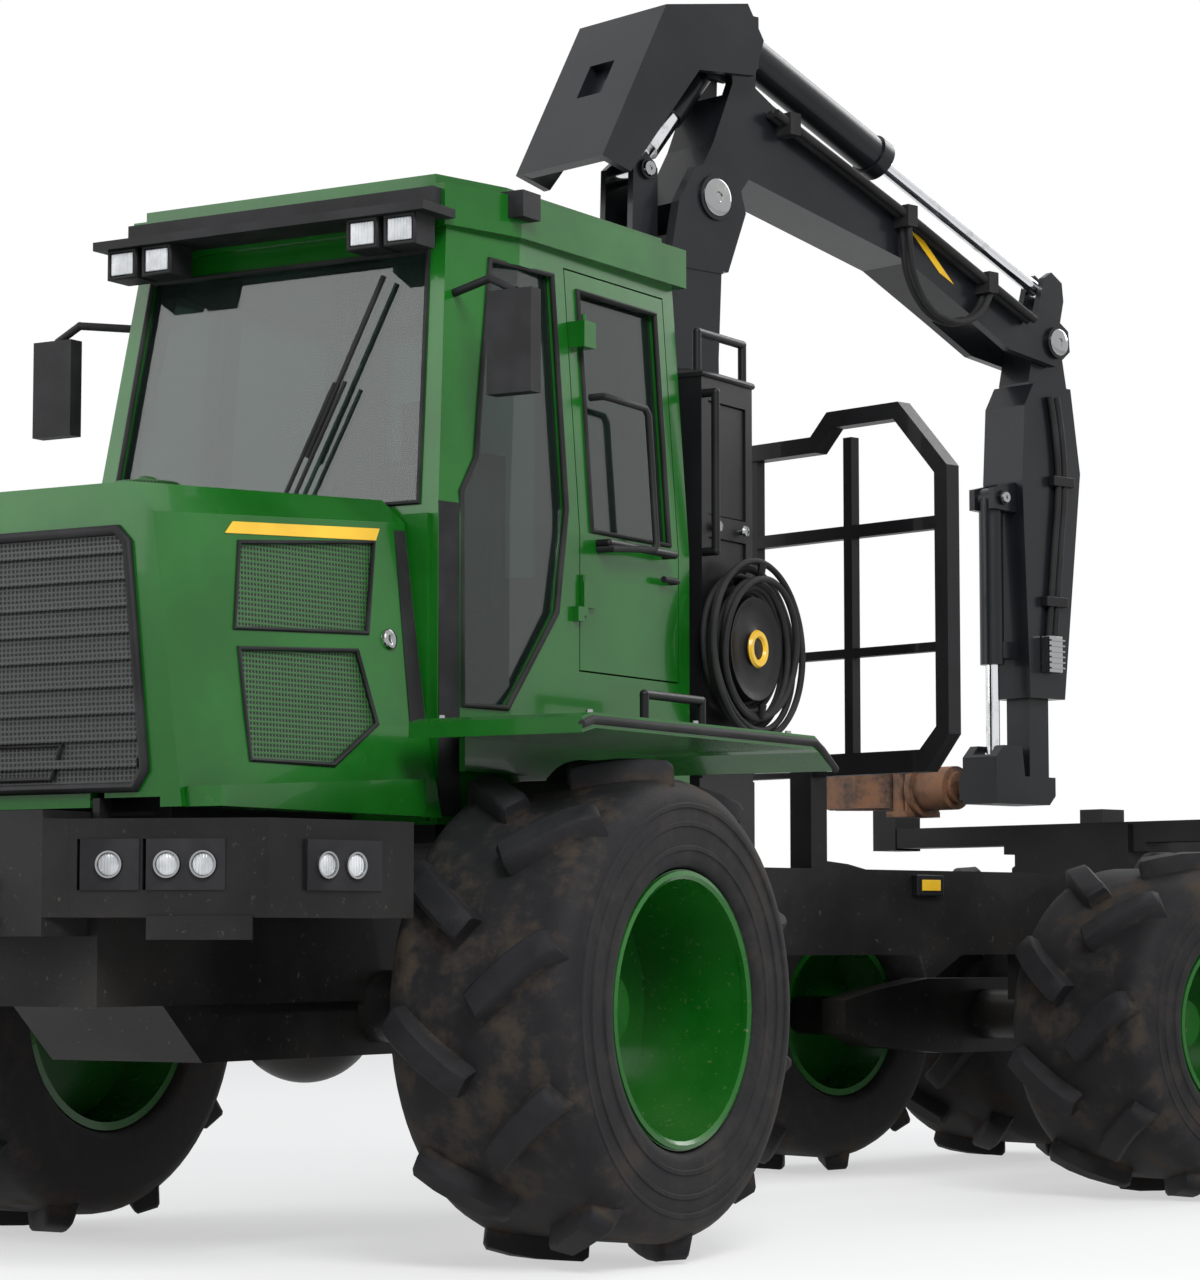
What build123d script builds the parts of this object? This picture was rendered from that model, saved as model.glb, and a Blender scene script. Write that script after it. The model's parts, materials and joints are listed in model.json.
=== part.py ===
from build123d import *
import math
import os

os.makedirs("parts", exist_ok=True)

# Millimetres.  x = machine left, y = rearward, z = up, front axle at y = 0.
# The machine is parked with the rear frame swung a little to its left.
STEER = -16.0
HINGE_Y = 1750.0
SHIFT_X = -525.5
SHIFT_Y = -2399.0

# Wheels
FRONT_R = 800.0
REAR_R = 688.0
FRONT_X = 1154.0
REAR_X = 1067.0
BOGIE_Y = (4000.0, 5500.0)
TYRE_WIDE = 680.0
FRONT_BEAD = 448.0
REAR_BEAD = 352.0
FRONT_DISH = 400.0
REAR_DISH = 380.0
RIM_SETBACK = 25.0
PLATE_THICK = 30.0
LUG_WIDTH = 96.0
LUG_HEIGHT = 50.0
LUG_SAG = 12.0
REAR_LUG_SAG = 14.0
SHOULDER_DROP = 50.0
SEAT_GAP = 0.3
PIN_GAP = 0.5
STEER_PIN_R = 24.0
STEER_BARREL_R = 42.0
STEER_Z = 1100.0
FRONT_PAIRS = 10
REAR_PAIRS = 9

# Clearances over and beside the front tyres
FENDER_GAP = 68.0
BUMPER_GAP = 20.0


def block(x0, x1, y0, y1, z0, z1):
    """Box between two corners."""
    centre = ((x0 + x1) / 2, (y0 + y1) / 2, (z0 + z1) / 2)
    return Pos(*centre) * Box(x1 - x0, y1 - y0, z1 - z0)


def side(points, x0, x1):
    """Outline in (y, z) pulled across the machine."""
    face = make_face(Polyline(*[(x0, y, z) for y, z in points], close=True))
    return extrude(face, amount=x1 - x0, dir=(1, 0, 0))


def plan(points, z0, z1):
    """Outline in (x, y) pulled upward."""
    face = make_face(Polyline(*[(x, y, z0) for x, y in points], close=True))
    return extrude(face, amount=z1 - z0, dir=(0, 0, 1))


def across(points, y0, y1):
    """Outline in (x, z) pulled rearward."""
    face = make_face(Polyline(*[(x, y0, z) for x, z in points], close=True))
    return extrude(face, amount=y1 - y0, dir=(0, 1, 0))


def rod(p, q, radius):
    """Round bar between two points."""
    a = Vector(*p)
    d = Vector(*q) - a
    return Solid.make_cylinder(radius, d.length, Plane(origin=a, z_dir=d))


BEND_SWELL = 0.6


def pipe(points, radius):
    """Bent round bar through points."""
    out = None
    for p, q in zip(points, points[1:]):
        piece = rod(p, q, radius)
        out = piece if out is None else out + piece
    for p in points[1:-1]:
        out = out + Pos(*p) * Sphere(radius + BEND_SWELL)
    return out


def join(*pieces):
    """Union of pieces."""
    out = pieces[0]
    for piece in pieces[1:]:
        out = out + piece
    return out


def mirror_x(shape):
    """Same piece on the other side."""
    return shape.mirror(Plane.YZ)


def both(shape):
    """Piece with its other side."""
    return Compound(children=[*shape.solids(), *mirror_x(shape).solids()])


def swing(shape):
    """Turn a rear-frame piece to where the machine is parked."""
    turned = Pos(0, HINGE_Y, 0) * Rot(0, 0, STEER) * Pos(0, -HINGE_Y, 0)
    return turned * shape


DONE = {}


def save(name, shape, rear=False, minus=()):
    """Write one named piece, less the pieces it is seated against."""
    if rear:
        shape = swing(shape)
    shape = Pos(SHIFT_X, SHIFT_Y, 0) * shape
    for other in minus:
        shape = shape - DONE[other]
    DONE[name] = shape
    solids = shape.solids()
    whole = solids[0] if len(solids) == 1 else Compound(children=list(solids))
    whole.label = name
    export_step(whole, "parts/" + name + ".step")
    box = whole.bounding_box()
    print(name, len(solids), [round(v) for v in (*box.min, *box.max)])


# Wheels

def ring_prism(r0, r1, w0, w1, sides):
    """Faceted frustum along x from radius r0 at w0 to r1 at w1."""
    low = Plane(origin=(w0, 0, 0), z_dir=(1, 0, 0)) * RegularPolygon(r0, sides)
    high = Plane(origin=(w1, 0, 0), z_dir=(1, 0, 0)) * RegularPolygon(r1, sides)
    return loft([low.face(), high.face()], ruled=True)


def tyre(tip, bead, width, pairs):
    """Faceted carcass with angled lugs, centred on the origin, axis x."""
    half = width / 2
    base = tip - LUG_HEIGHT
    shoulder = base - SHOULDER_DROP
    crown = half - 70
    body = ring_prism(base, base, -crown, crown, 20)
    body = body + ring_prism(base, shoulder, crown, half, 20)
    body = body + ring_prism(shoulder, base, -half, -crown, 20)
    hole = ring_prism(bead, bead, -half - 10, half + 10, 20)
    body = body - hole
    sink = 60
    for n in range(pairs):
        for s in (-1, 1):
            turn = (n + (0.25 if s > 0 else -0.25)) * 360.0 / pairs
            lug = Box(half - 10, LUG_WIDTH, tip - base + sink)
            lug = Rot(0, 0, 38 * s) * lug
            lug = Pos(s * (half / 2 - 14), 0, (tip + base - sink) / 2) * lug
            body = body + Rot(turn, 0, 0) * lug
    return body


def rim(bead, dish, width, bore):
    """Deep dished wheel, axis x, open face on +x."""
    half = width / 2 - RIM_SETBACK
    outer = bead * math.cos(math.pi / 20)
    ring = Rot(0, 90, 0) * Cylinder(outer, 2 * half)
    ring = ring - Rot(0, 90, 0) * Cylinder(outer - 28, 2 * half + 20)
    plate = Pos(half - dish, 0, 0) * Rot(0, 90, 0) * Cylinder(outer - 10, PLATE_THICK)
    hub = Pos(half - dish + 45, 0, 0) * Rot(0, 90, 0) * Cylinder(bore, 90)
    cap = Pos(half - dish + 110, 0, 0) * Rot(0, 90, 0) * Cylinder(bore * 0.72, 60)
    return ring + plate + hub + cap


front_tyre = tyre(FRONT_R - LUG_SAG, FRONT_BEAD, TYRE_WIDE, FRONT_PAIRS)
front_rim = rim(FRONT_BEAD, FRONT_DISH, TYRE_WIDE, 150)
for name, s in (("left", 1), ("right", -1)):
    place = Pos(s * FRONT_X, 0, FRONT_R)
    tyre_piece = front_tyre if s > 0 else mirror_x(front_tyre)
    rim_piece = front_rim if s > 0 else mirror_x(front_rim)
    save("front_tyre_" + name, place * tyre_piece)
    save("front_rim_" + name, place * rim_piece)

rear_tyre = tyre(REAR_R - REAR_LUG_SAG, REAR_BEAD, TYRE_WIDE, REAR_PAIRS)
rear_rim = rim(REAR_BEAD, REAR_DISH, TYRE_WIDE, 130)
for row, y in zip(("fore", "aft"), BOGIE_Y):
    for name, s in (("left", 1), ("right", -1)):
        place = Pos(s * REAR_X, y, REAR_R)
        tyre_piece = rear_tyre if s > 0 else mirror_x(rear_tyre)
        rim_piece = rear_rim if s > 0 else mirror_x(rear_rim)
        save("rear_tyre_" + row + "_" + name, place * tyre_piece, True)
        save("rear_rim_" + row + "_" + name, place * rim_piece, True)

# Front frame and running gear

spine = block(-330, 330, -1500, 1250, 820, 1330)
spine = spine - block(-290, 290, -1460, 900, 1180, 1340)
yoke_low = side([(1200, 700), (1650, 760), (1650, 850), (1560, 850), (1200, 960)], -260, 260)
yoke_high = side([(1200, 1172), (1650, 1172), (1650, 1260), (1200, 1320)], -260, 260)
yoke_low = yoke_low + Pos(0, HINGE_Y, 810) * Cylinder(170, 100)
yoke_low = yoke_low + block(-170, 170, 1600, 1750, 760, 860)
yoke_high = yoke_high + Pos(0, HINGE_Y, 1215) * Cylinder(170, 90)
yoke_high = yoke_high + block(-170, 170, 1600, 1750, 1170, 1260)
belly = side([(-1150, 820), (-950, 640), (900, 640), (1200, 820)], -300, 300)
deck = plan([(-700, -260), (700, -260), (760, 1300), (-760, 1300)], 1330, 1390)
tank_shelf = block(40, 800, 1290, 1700, 1330, 1600)
tank_shelf = tank_shelf + block(-330, 330, 1200, 1300, 1000, 1390)
king_pin = rod((0, HINGE_Y, 720), (0, HINGE_Y, 1290), 60)
steer_low = STEER_Z - STEER_BARREL_R - PIN_GAP
steer_high = STEER_Z + STEER_BARREL_R + PIN_GAP
steer_ears = both(join(
    block(300, 470, 905, 1015, 1035, steer_low),
    block(300, 470, 905, 1015, steer_high, 1165),
    rod((420, 960, 1020), (420, 960, 1180), STEER_PIN_R),
    block(300, 345, 905, 1015, 1035, 1165),
))
front_frame = join(spine, yoke_low, yoke_high, belly, deck, tank_shelf)
front_frame = front_frame + king_pin
for recess in both(block(150, 345, 1016, 1310, 1040, 1160)).solids():
    front_frame = front_frame - recess
for ear in steer_ears.solids():
    front_frame = front_frame + ear
save("front_frame", front_frame)

hub_face = FRONT_X + TYRE_WIDE / 2 - RIM_SETBACK - FRONT_DISH - PLATE_THICK / 2 - SEAT_GAP
axle = rod((-hub_face, 0, FRONT_R), (hub_face, 0, FRONT_R), 90)
axle = axle + rod((-hub_face + 60, 0, FRONT_R), (hub_face - 60, 0, FRONT_R), 120)
axle = axle + Pos(0, 0, FRONT_R - 10) * Sphere(250)
axle = axle + block(-150, 150, -140, 140, FRONT_R + 30, FRONT_R + 100)
save("front_axle", axle, False, ("front_frame",))

engine = block(-420, 420, -1180, -330, 1190, 2130)
engine = engine + block(-280, 280, -1100, -420, 1150, 1200)

radiator = block(-470, 470, -1330, -1200, 1340, 2180)
radiator = radiator + block(-320, 320, -1330, -1200, 1320, 1345)
engine = engine + radiator + block(-200, 200, -1210, -1170, 1400, 2000)
save("engine_block", engine, False, ("front_frame",))

bumper_end = -FRONT_R - BUMPER_GAP
bumper_plan = [(-1030, bumper_end - 45), (-900, -1420), (-330, -1640), (-300, -1720), (300, -1720),
               (330, -1640), (900, -1420), (1030, bumper_end - 45), (950, bumper_end), (830, -1330),
               (300, -1500), (-300, -1500), (-830, -1330), (-950, bumper_end)]
bumper = plan(bumper_plan, 1085, 1375)
bumper = bumper + block(-300, 300, -1720, -1480, 1030, 1400)
bumper = bumper + block(-300, 300, -1520, -1400, 1085, 1300)
bumper = bumper + both(block(200, 330, -1520, -1300, 1110, 1300)).solids()[0]
bumper = bumper + both(block(200, 330, -1520, -1300, 1110, 1300)).solids()[1]
lamp_turn = math.degrees(math.atan2(220, 570))
for s in (-1, 1):
    for px, py, wide in ((440, -1598, 150), (655, -1515, 210)):
        slot = Rot(0, 0, s * lamp_turn) * Box(wide + 30, 130, 150)
        bumper = bumper - Pos(s * px, py, 1240) * slot
    side_turn = math.degrees(math.atan2(660, 140))
    slot = Rot(0, 0, s * side_turn) * Box(300, 90, 150)
    bumper = bumper - Pos(s * 960, -1140, 1240) * slot

step_plate = plan([(560, -1560), (860, -1445), (830, -1400), (530, -1515)], 1020, 1090)
for plate in both(step_plate).solids():
    bumper = bumper + plate
tow_jaw = block(-90, 90, -1790, -1700, 1060, 1090) + block(-90, 90, -1790, -1700, 1170, 1200)
bumper = bumper + tow_jaw - rod((0, -1750, 1000), (0, -1750, 1300), 22)
for ear in both(block(310, 336, -1505, -1450, 1360, 1440)).solids():
    bumper = bumper + ear
save("front_bumper", bumper, False, ("front_frame",))

lamps = []
for s in (-1, 1):
    for px, py, wide in ((440, -1585, 150), (655, -1500, 210)):
        lens = Rot(0, 0, s * lamp_turn) * Box(wide + 30, 70, 150)
        lamps.append(Pos(s * px, py + 18, 1240) * lens)
    lens = Rot(0, 0, s * side_turn) * Box(300, 50, 150)
    lamps.append(Pos(s * 950, -1138, 1240) * lens)
save("front_lamps", Compound(children=[p for q in lamps for p in q.solids()]), False, ("front_bumper",))

# Hood, with the cooler screen and side vents

hood_low = 1410.0
nose = -1500.0


def hood_form(shrink):
    """Hood body as a loft from its nose to its rear edge."""
    w = shrink
    front = [(-640 + w, hood_low), (640 - w, hood_low), (600 - w, 1700), (520 - w, 2290 - w),
             (430 - w, 2385 - w), (-430 + w, 2385 - w), (-520 + w, 2290 - w), (-600 + w, 1700)]
    back = [(-760 + w, hood_low), (760 - w, hood_low), (700 - w, 1700), (610 - w, 2370 - w),
            (520 - w, 2450 - w), (-520 + w, 2450 - w), (-610 + w, 2370 - w), (-700 + w, 1700)]
    y0 = nose + w
    y1 = -300 - w if shrink == 0 else -280
    low = make_face(Polyline(*[(x, y0, z) for x, z in front], close=True))
    high = make_face(Polyline(*[(x, y1, z) for x, z in back], close=True))
    return loft([low, high], ruled=True)


hood = hood_form(0) - Pos(0, 0, -30) * hood_form(35) - hood_form(35)
hood = hood - block(-900, 900, -310, -200, 1300, 2600)
grille_hole = across([(-470, 1470), (470, 1470), (505, 1520), (430, 2200), (390, 2240),
                      (-390, 2240), (-430, 2200), (-505, 1520)], nose - 20, nose + 60)
hood = hood - grille_hole
vent_top = [(-1190, 1960), (-1130, 2230), (-480, 2290), (-560, 1990)]
vent_low = [(-1180, 1560), (-1180, 1900), (-620, 1930), (-560, 1700), (-800, 1560)]
for outline in (vent_top, vent_low):
    hood = hood - side(outline, 400, 900) - side(outline, -900, -400)
skirt = side([(-1480, 1410), (-1480, 1470), (-420, 1530), (-420, 1410)], 640, 770)
skirt = skirt - hood_form(35)
for piece in both(skirt).solids():
    hood = hood + piece
hood = hood - block(-560, 560, -1560, -330, 1380, 1440)
hinge_bar = rod((-310, nose + 20, 1425), (310, nose + 20, 1425), 14)
hood = hood - both(block(296, 350, nose - 20, nose + 70, 1400, 1480)).solids()[0]
hood = hood - both(block(296, 350, nose - 20, nose + 70, 1400, 1480)).solids()[1]
hood = hood + block(-295, 295, nose, nose + 34, 1412, 1475) + hinge_bar
save("hood_shell", hood)

grille = grille_hole & block(-900, 900, nose, nose + 45, 1400, 2300)
bars = None
for n in range(9):
    z = 1530 + n * 80
    bar = block(-480, 480, nose - 14, nose + 10, z, z + 26)
    bars = bar if bars is None else bars + bar
bars = bars & across([(-470, 1470), (470, 1470), (505, 1520), (430, 2200), (390, 2240),
                      (-390, 2240), (-430, 2200), (-505, 1520)], nose - 20, nose + 60)
grille = grille + bars
save("hood_grille", grille, False, ("hood_shell",))

vents = []
for outline in (vent_top, vent_low):
    for s in (-1, 1):
        pane = side(outline, 400, 900) if s > 0 else side(outline, -900, -400)
        skin = hood_form(6) - hood_form(30)
        vents.extend((skin & pane).solids())

dome = Pos(-260, -560, 2440) * Cylinder(150, 90) + Pos(-260, -560, 2485) * Sphere(70)
dome = dome + Pos(-260, -560, 2500) * Cylinder(110, 60)
vents.extend(dome.solids())
save("hood_vents", Compound(children=vents), False, ("hood_shell",))

# Cab

CAB_LOW = 1390.0
CAB_TOP = 3380.0


def cab_plan(inset, half_front, half_rear, y_front, z):
    """Plan outline of the cab at one height."""
    f = half_front - inset
    r = half_rear - inset
    y0 = y_front + inset
    y1 = 1235 - inset
    pts = [(-f, y0), (f, y0), (r, y0 + 330), (r, y1), (-r, y1), (-r, y0 + 330)]
    return make_face(Polyline(*[(x, y, z) for x, y in pts], close=True))


def cab_form(inset):
    """Cab body, upright to the sill and leaning in above it."""
    low = cab_plan(inset, 720, 790, -280, CAB_LOW + inset)
    sill = cab_plan(inset, 720, 790, -280, 2400)
    top = cab_plan(inset, 640, 720, -120, CAB_TOP - inset)
    return loft([low, sill], ruled=True) + loft([sill, top], ruled=True)


shell = cab_form(0) - cab_form(55)
screen = [(-640, 2440), (640, 2440), (580, 3300), (-580, 3300)]
shell = shell - across(screen, -400, 60)
side_front = [(-170, 1780), (30, 1780), (330, 2120), (400, 2480), (400, 3290), (60, 3290),
              (-90, 2600), (-170, 2480)]
rear_pane = [(-560, 2350), (560, 2350), (520, 3290), (-520, 3290)]
shell = shell - side(side_front, 500, 900) - side(side_front, -900, -500)
shell = shell - across(rear_pane, 1100, 1300)
door_hole = [(480, 1930), (1160, 1930), (1160, 3330), (480, 3330)]
door_form = [(486, 1936), (1154, 1936), (1154, 3324), (486, 3324)]
door_pane = [(560, 2420), (1090, 2420), (1090, 3260), (560, 3260)]
right_pane = [(500, 2420), (1130, 2420), (1130, 3290), (500, 3290)]
shell = shell - side(door_hole, 500, 900)
shell = shell - side(right_pane, -900, -500)
shell = shell + block(-690, 690, -298, -270, 1400, 2400)
shell = shell + block(785, 812, 440, 480, 2100, 2150) + block(790, 812, 440, 504, 2120, 2150)
save("cab_shell", shell)

door = (cab_form(0) - cab_form(55)) & side(door_form, 500, 900)
door = door - side(door_pane, 500, 900)
for z in (2150, 3050):
    door = door + block(765 if z < 2400 else 690, 808, 484, 560, z, z + 90)
    door = door + rod((800, 492, z + 20), (800, 492, z + 112), 8)
door = door - rod((800, 492, 2117), (800, 492, 2150), 32)
save("cab_door", door)

skin = cab_form(20) - cab_form(30)
save("door_glass", skin & side([(556, 2416), (1094, 2416), (1094, 3264), (556, 3264)], 500, 900),
     False, ("cab_door",))
panes = []
big_screen = [(-644, 2436), (644, 2436), (584, 3304), (-584, 3304)]
panes.extend((skin & across(big_screen, -400, 200)).solids()[:1])
for s in (-1, 1):
    grown = [(-174, 1776), (32, 1776), (334, 2118), (404, 2480), (404, 3294), (57, 3294),
             (-94, 2600), (-174, 2482)]
    cut = side(grown, 450, 900) if s > 0 else side(grown, -900, -450)
    panes.extend((skin & cut).solids())
panes.extend((skin & across([(-564, 2346), (564, 2346), (524, 3294), (-524, 3294)], 1100, 1300)).solids())
grown = [(496, 2416), (1134, 2416), (1134, 3294), (496, 3294)]
panes.extend((skin & side(grown, -900, -450)).solids())
save("cab_glass", Compound(children=panes), False, ("cab_shell",))

roof_plan = [(-655, -150), (655, -150), (745, 180), (760, 1270), (-760, 1270), (-745, 180)]
roof = plan(roof_plan, CAB_TOP, 3520)
roof = roof + plan([(x * 0.93, 40 + (y - 40) * 0.93) for x, y in roof_plan], 3520, 3555)
roof = roof - cab_form(0)
save("cab_roof", roof)

visor = plan([(-690, -330), (690, -330), (690, -140), (-690, -140)], 3395, 3425)
visor = visor + block(-640, 640, -200, -140, 3395, 3500)
hood_lamps = []
for s in (-1, 1):
    for k in (0, 1):
        x = s * (430 + 150 * k)
        hood_lamps.append(block(x - 62, x + 62, -300, -190, 3290, 3396))
for lamp in hood_lamps:
    visor = visor + lamp

side_lamp = block(700, 790, 120, 230, 3440, 3530) + block(-790, -700, 120, 230, 3440, 3530)
beacon = Pos(600, 1305, 3440) * Cylinder(52, 130) + Pos(600, 1305, 3505) * Sphere(52)
beacon = beacon + block(560, 640, 1262, 1300, 3400, 3440)
lights = [*visor.solids(), *side_lamp.solids(), *beacon.solids()]
save("roof_lamps", Compound(children=lights), False, ("cab_roof", "cab_shell"))

seat = block(-260, 260, 350, 800, 1860, 1990) + block(-240, 240, 740, 860, 1960, 2750)
seat = seat + block(-140, 140, 760, 850, 2740, 2960) + block(-160, 160, 450, 720, 1445, 1870)
seat = seat + block(-360, -270, 330, 700, 2080, 2150) + block(270, 360, 330, 700, 2080, 2150)
seat = seat + block(-360, -250, 660, 760, 1900, 2150) + block(250, 360, 660, 760, 1900, 2150)

console = block(-120, 120, -150, 60, 1445, 2150) + block(-420, 420, -180, -40, 2050, 2200)
console = console + rod((0, -10, 2150), (0, 120, 2260), 22)
console = console + Pos(0, 128, 2266) * Rot(-50, 0, 0) * Torus(160, 16)
console = console + Pos(0, 128, 2266) * Rot(-50, 0, 0) * Box(320, 40, 20)
save("cab_interior", Compound(children=[*seat.solids(), *console.solids()]), False, ("cab_shell",))

mirrors = []
for s in (-1, 1):
    arm = pipe([(s * 640, -100, 3150), (s * 860, -190, 3170), (s * 960, -190, 3120)], 14)
    head = block(min(s * 870, s * 1040), max(s * 870, s * 1040), -225, -165, 2780, 3120)
    mirrors.extend((arm + head).solids())
save("cab_mirrors", Compound(children=mirrors), False, ("cab_shell",))

ledge = 2 * FRONT_R + FENDER_GAP
fender = side([(-560, ledge - 18), (-560, ledge + 32), (-500, ledge + 47), (960, ledge + 47),
               (1010, ledge + 22), (1130, ledge - 68), (1100, ledge - 68), (985, ledge - 8),
               (960, ledge), (-480, ledge)], 770, 1440)
fender = fender - cab_form(0) - block(700, 800, -600, -260, ledge - 68, ledge + 82)
fender = fender + block(786, 808, -250, 700, ledge - 108, ledge + 12) - cab_form(0)
save("fenders", both(fender))

tank = block(80, 800, 1310, 1690, 1600, 3080)
tank = tank - block(784, 810, 1360, 1640, 2560, 2980) - block(784, 810, 1360, 1640, 1700, 2480)
tank = tank + block(780, 792, 1366, 1634, 2566, 2974) + block(780, 792, 1366, 1634, 1706, 2474)
tank = tank + Pos(600, 1500, 3090) * Cylinder(60, 60)
save("oil_tank", tank)

rails = []
rails.append(pipe([(770, 1330, 3080), (770, 1330, 3230), (770, 1670, 3230), (770, 1670, 3080)], 16))
rails.append(pipe([(800, 1325, 2420), (850, 1325, 2420), (850, 1325, 3000), (800, 1325, 3000)], 16))
rails.append(pipe([(1000, 560, ledge + 47), (1000, 560, ledge + 182), (1000, 950, ledge + 182),
                   (1000, 950, ledge + 47)], 16))
rails.append(mirror_x(rails[2]))
save("grab_rails", Compound(children=[p for r in rails for p in r.solids()]), False, ("fenders", "oil_tank"))
door_rail = pipe([(775, 600, 2380), (835, 600, 2380), (835, 1050, 2380), (775, 1050, 2380)], 14)
save("door_rail", door_rail, False, ("cab_door",))

coil = Pos(850, 1560, 2080) * Rot(0, 90, 0) * Torus(300, 46)
coil = coil + Pos(880, 1560, 2080) * Rot(0, 90, 0) * Torus(215, 46)
coil = coil + block(792, 900, 1530, 1590, 2260, 2420) + block(792, 900, 1530, 1590, 1800, 1900)
coil = coil + Pos(905, 1560, 2350) * Rot(0, 90, 0) * Cylinder(60, 30)
save("hose_coil", coil)

# Rear frame, bogies, gate and bunks

knuckle = Pos(0, HINGE_Y, 1015) * Cylinder(165, 310) + block(-165, 165, 1750, 2120, 870, 1160)
knuckle = knuckle - rod((0, HINGE_Y, 800), (0, HINGE_Y, 1250), 66)
rear = plan([(-165, 1960), (165, 1960), (340, 2350), (340, 6600), (-340, 6600), (-340, 2350)], 960, 1300)
rear = rear - block(-250, 250, 2700, 6500, 900, 1200)
rear = rear + knuckle
rear = rear + block(-340, 340, 1960, 2850, 1240, 1300)
rear = rear + block(-320, 320, 4680, 6600, 1290, 1520)
rear = rear + block(-330, 330, 6560, 6640, 900, 1520)
tow = block(-80, 80, 6630, 6760, 960, 990) + block(-80, 80, 6630, 6760, 1070, 1100)
rear = rear + tow - rod((0, 6700, 900), (0, 6700, 1200), 25)
for s in (-1, 1):
    rear = rear + block(s * 345 - 105, s * 345 + 105, 2065, 2185, 1032, 1058)
    rear = rear + block(s * 345 - 105, s * 345 + 105, 2065, 2185, 1142, 1168)
    rear = rear + block(s * 230 - 40, s * 230 + 40, 2065, 2300, 1032, 1168)
    rear = rear + rod((s * 390, 2125, 1018), (s * 390, 2125, 1033), 40)
    rear = rear + rod((s * 390, 2125, 1167), (s * 390, 2125, 1182), 40)
save("rear_frame", rear, True)

fore, aft = BOGIE_Y
mid = (fore + aft) / 2
rear_axle = rod((-560, mid, REAR_R), (560, mid, REAR_R), 110)
rear_axle = rear_axle + block(-300, 300, mid - 150, mid + 150, REAR_R + 70, 965)
rear_axle = rear_axle + Pos(0, mid, REAR_R) * Sphere(210)

beam_form = [(fore - 180, REAR_R - 68), (fore, REAR_R - 128), (mid - 300, REAR_R - 168),
             (mid + 300, REAR_R - 168),
             (aft, REAR_R - 128), (aft + 180, REAR_R - 68), (aft + 180, REAR_R + 72), (aft, REAR_R + 112),
             (mid + 400, REAR_R + 162), (mid - 400, REAR_R + 162), (fore, REAR_R + 112),
             (fore - 180, REAR_R + 72)]
rear_face = REAR_X + TYRE_WIDE / 2 - RIM_SETBACK - REAR_DISH - PLATE_THICK / 2 - SEAT_GAP
bogie = side(beam_form, 550, 690)
for y in BOGIE_Y:
    bogie = bogie + rod((600, y, REAR_R), (rear_face, y, REAR_R), 85)
save("rear_bogies", rear_axle + bogie + mirror_x(bogie), True, ("rear_frame",))

gate_out = [(-1050, 1800), (-930, 1660), (930, 1660), (1050, 1800), (1050, 2830), (800, 3100), (420, 3100),
            (330, 3010), (-330, 3010), (-420, 3100), (-800, 3100), (-1050, 2830)]
gate_in = [(-985, 1830), (-900, 1745), (900, 1745), (985, 1830), (985, 2805), (775, 3035), (445, 3035),
           (355, 2945), (-355, 2945), (-445, 3035), (-775, 3035), (-985, 2805)]
gate = across(gate_out, 2700, 2770) - across(gate_in, 2600, 2900)
for x in (-520, 0, 520):
    gate = gate + block(x - 22, x + 22, 2712, 2756, 1700, 2990)
gate = gate + block(-1000, 1000, 2712, 2756, 2590, 2640) + block(-1000, 1000, 2712, 2756, 2120, 2155)
gate = gate + both(block(220, 335, 2690, 2780, 1295, 1700)).solids()[0]
gate = gate + both(block(220, 335, 2690, 2780, 1295, 1700)).solids()[1]
save("load_gate", gate, True, ("rear_frame",))

bunks = []
for y in (4700, 6200):
    bolster = block(-1180, 1180, y, y + 160, 1440, 1530) + block(-400, 400, y, y + 160, 1400, 1500)
    for s in (-1, 1):
        pocket = block(s * 1120 - 70, s * 1120 + 70, y - 5, y + 165, 1430, 1660)
        bolster = bolster + pocket
    bolster = bolster - block(-319, 319, y - 50, y + 250, 1380, 1519)
    bunks.extend(bolster.solids())
save("load_bunks", Compound(children=bunks), True, ("rear_frame",))

slew = Pos(0, 2150, 1400) * Cylinder(255, 200) + Pos(0, 2150, 1330) * Cylinder(300, 60)
slew = slew - block(-400, 400, 1700, 1876, 1290, 1600)
save("slew_base", slew, True)

# Crane pillar

pillar = Pos(0, 2150, 1530) * Cylinder(235, 60)
pillar = pillar + side([(1950, 1550), (2350, 1550), (2330, 3300), (2350, 3700), (2000, 3700),
                        (1970, 3300)], -190, 190)
cheek = side([(2060, 3650), (2380, 3650), (2480, 3900), (2440, 4030), (2330, 4080), (2200, 4050),
              (2110, 3900)], 150, 195)
for piece in both(cheek).solids():
    pillar = pillar + piece
pillar = pillar + rod((-206, 2310, 3940), (-132, 2310, 3940), 90)
pillar = pillar + rod((132, 2310, 3940), (206, 2310, 3940), 90)
ear = side([(1950, 3650), (2090, 3650), (2090, 4040), (2030, 4100), (1960, 4040)], 64, 94)
for piece in both(ear).solids():
    pillar = pillar + piece
pillar = pillar + both(rod((94, 2030, 4030), (110, 2030, 4030), 40)).solids()[0]
pillar = pillar + both(rod((94, 2030, 4030), (110, 2030, 4030), 40)).solids()[1]
pillar = pillar + block(-195, 195, 1990, 2350, 3640, 3705)
save("crane_pillar", pillar, True)

# Main boom with its head box

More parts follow.
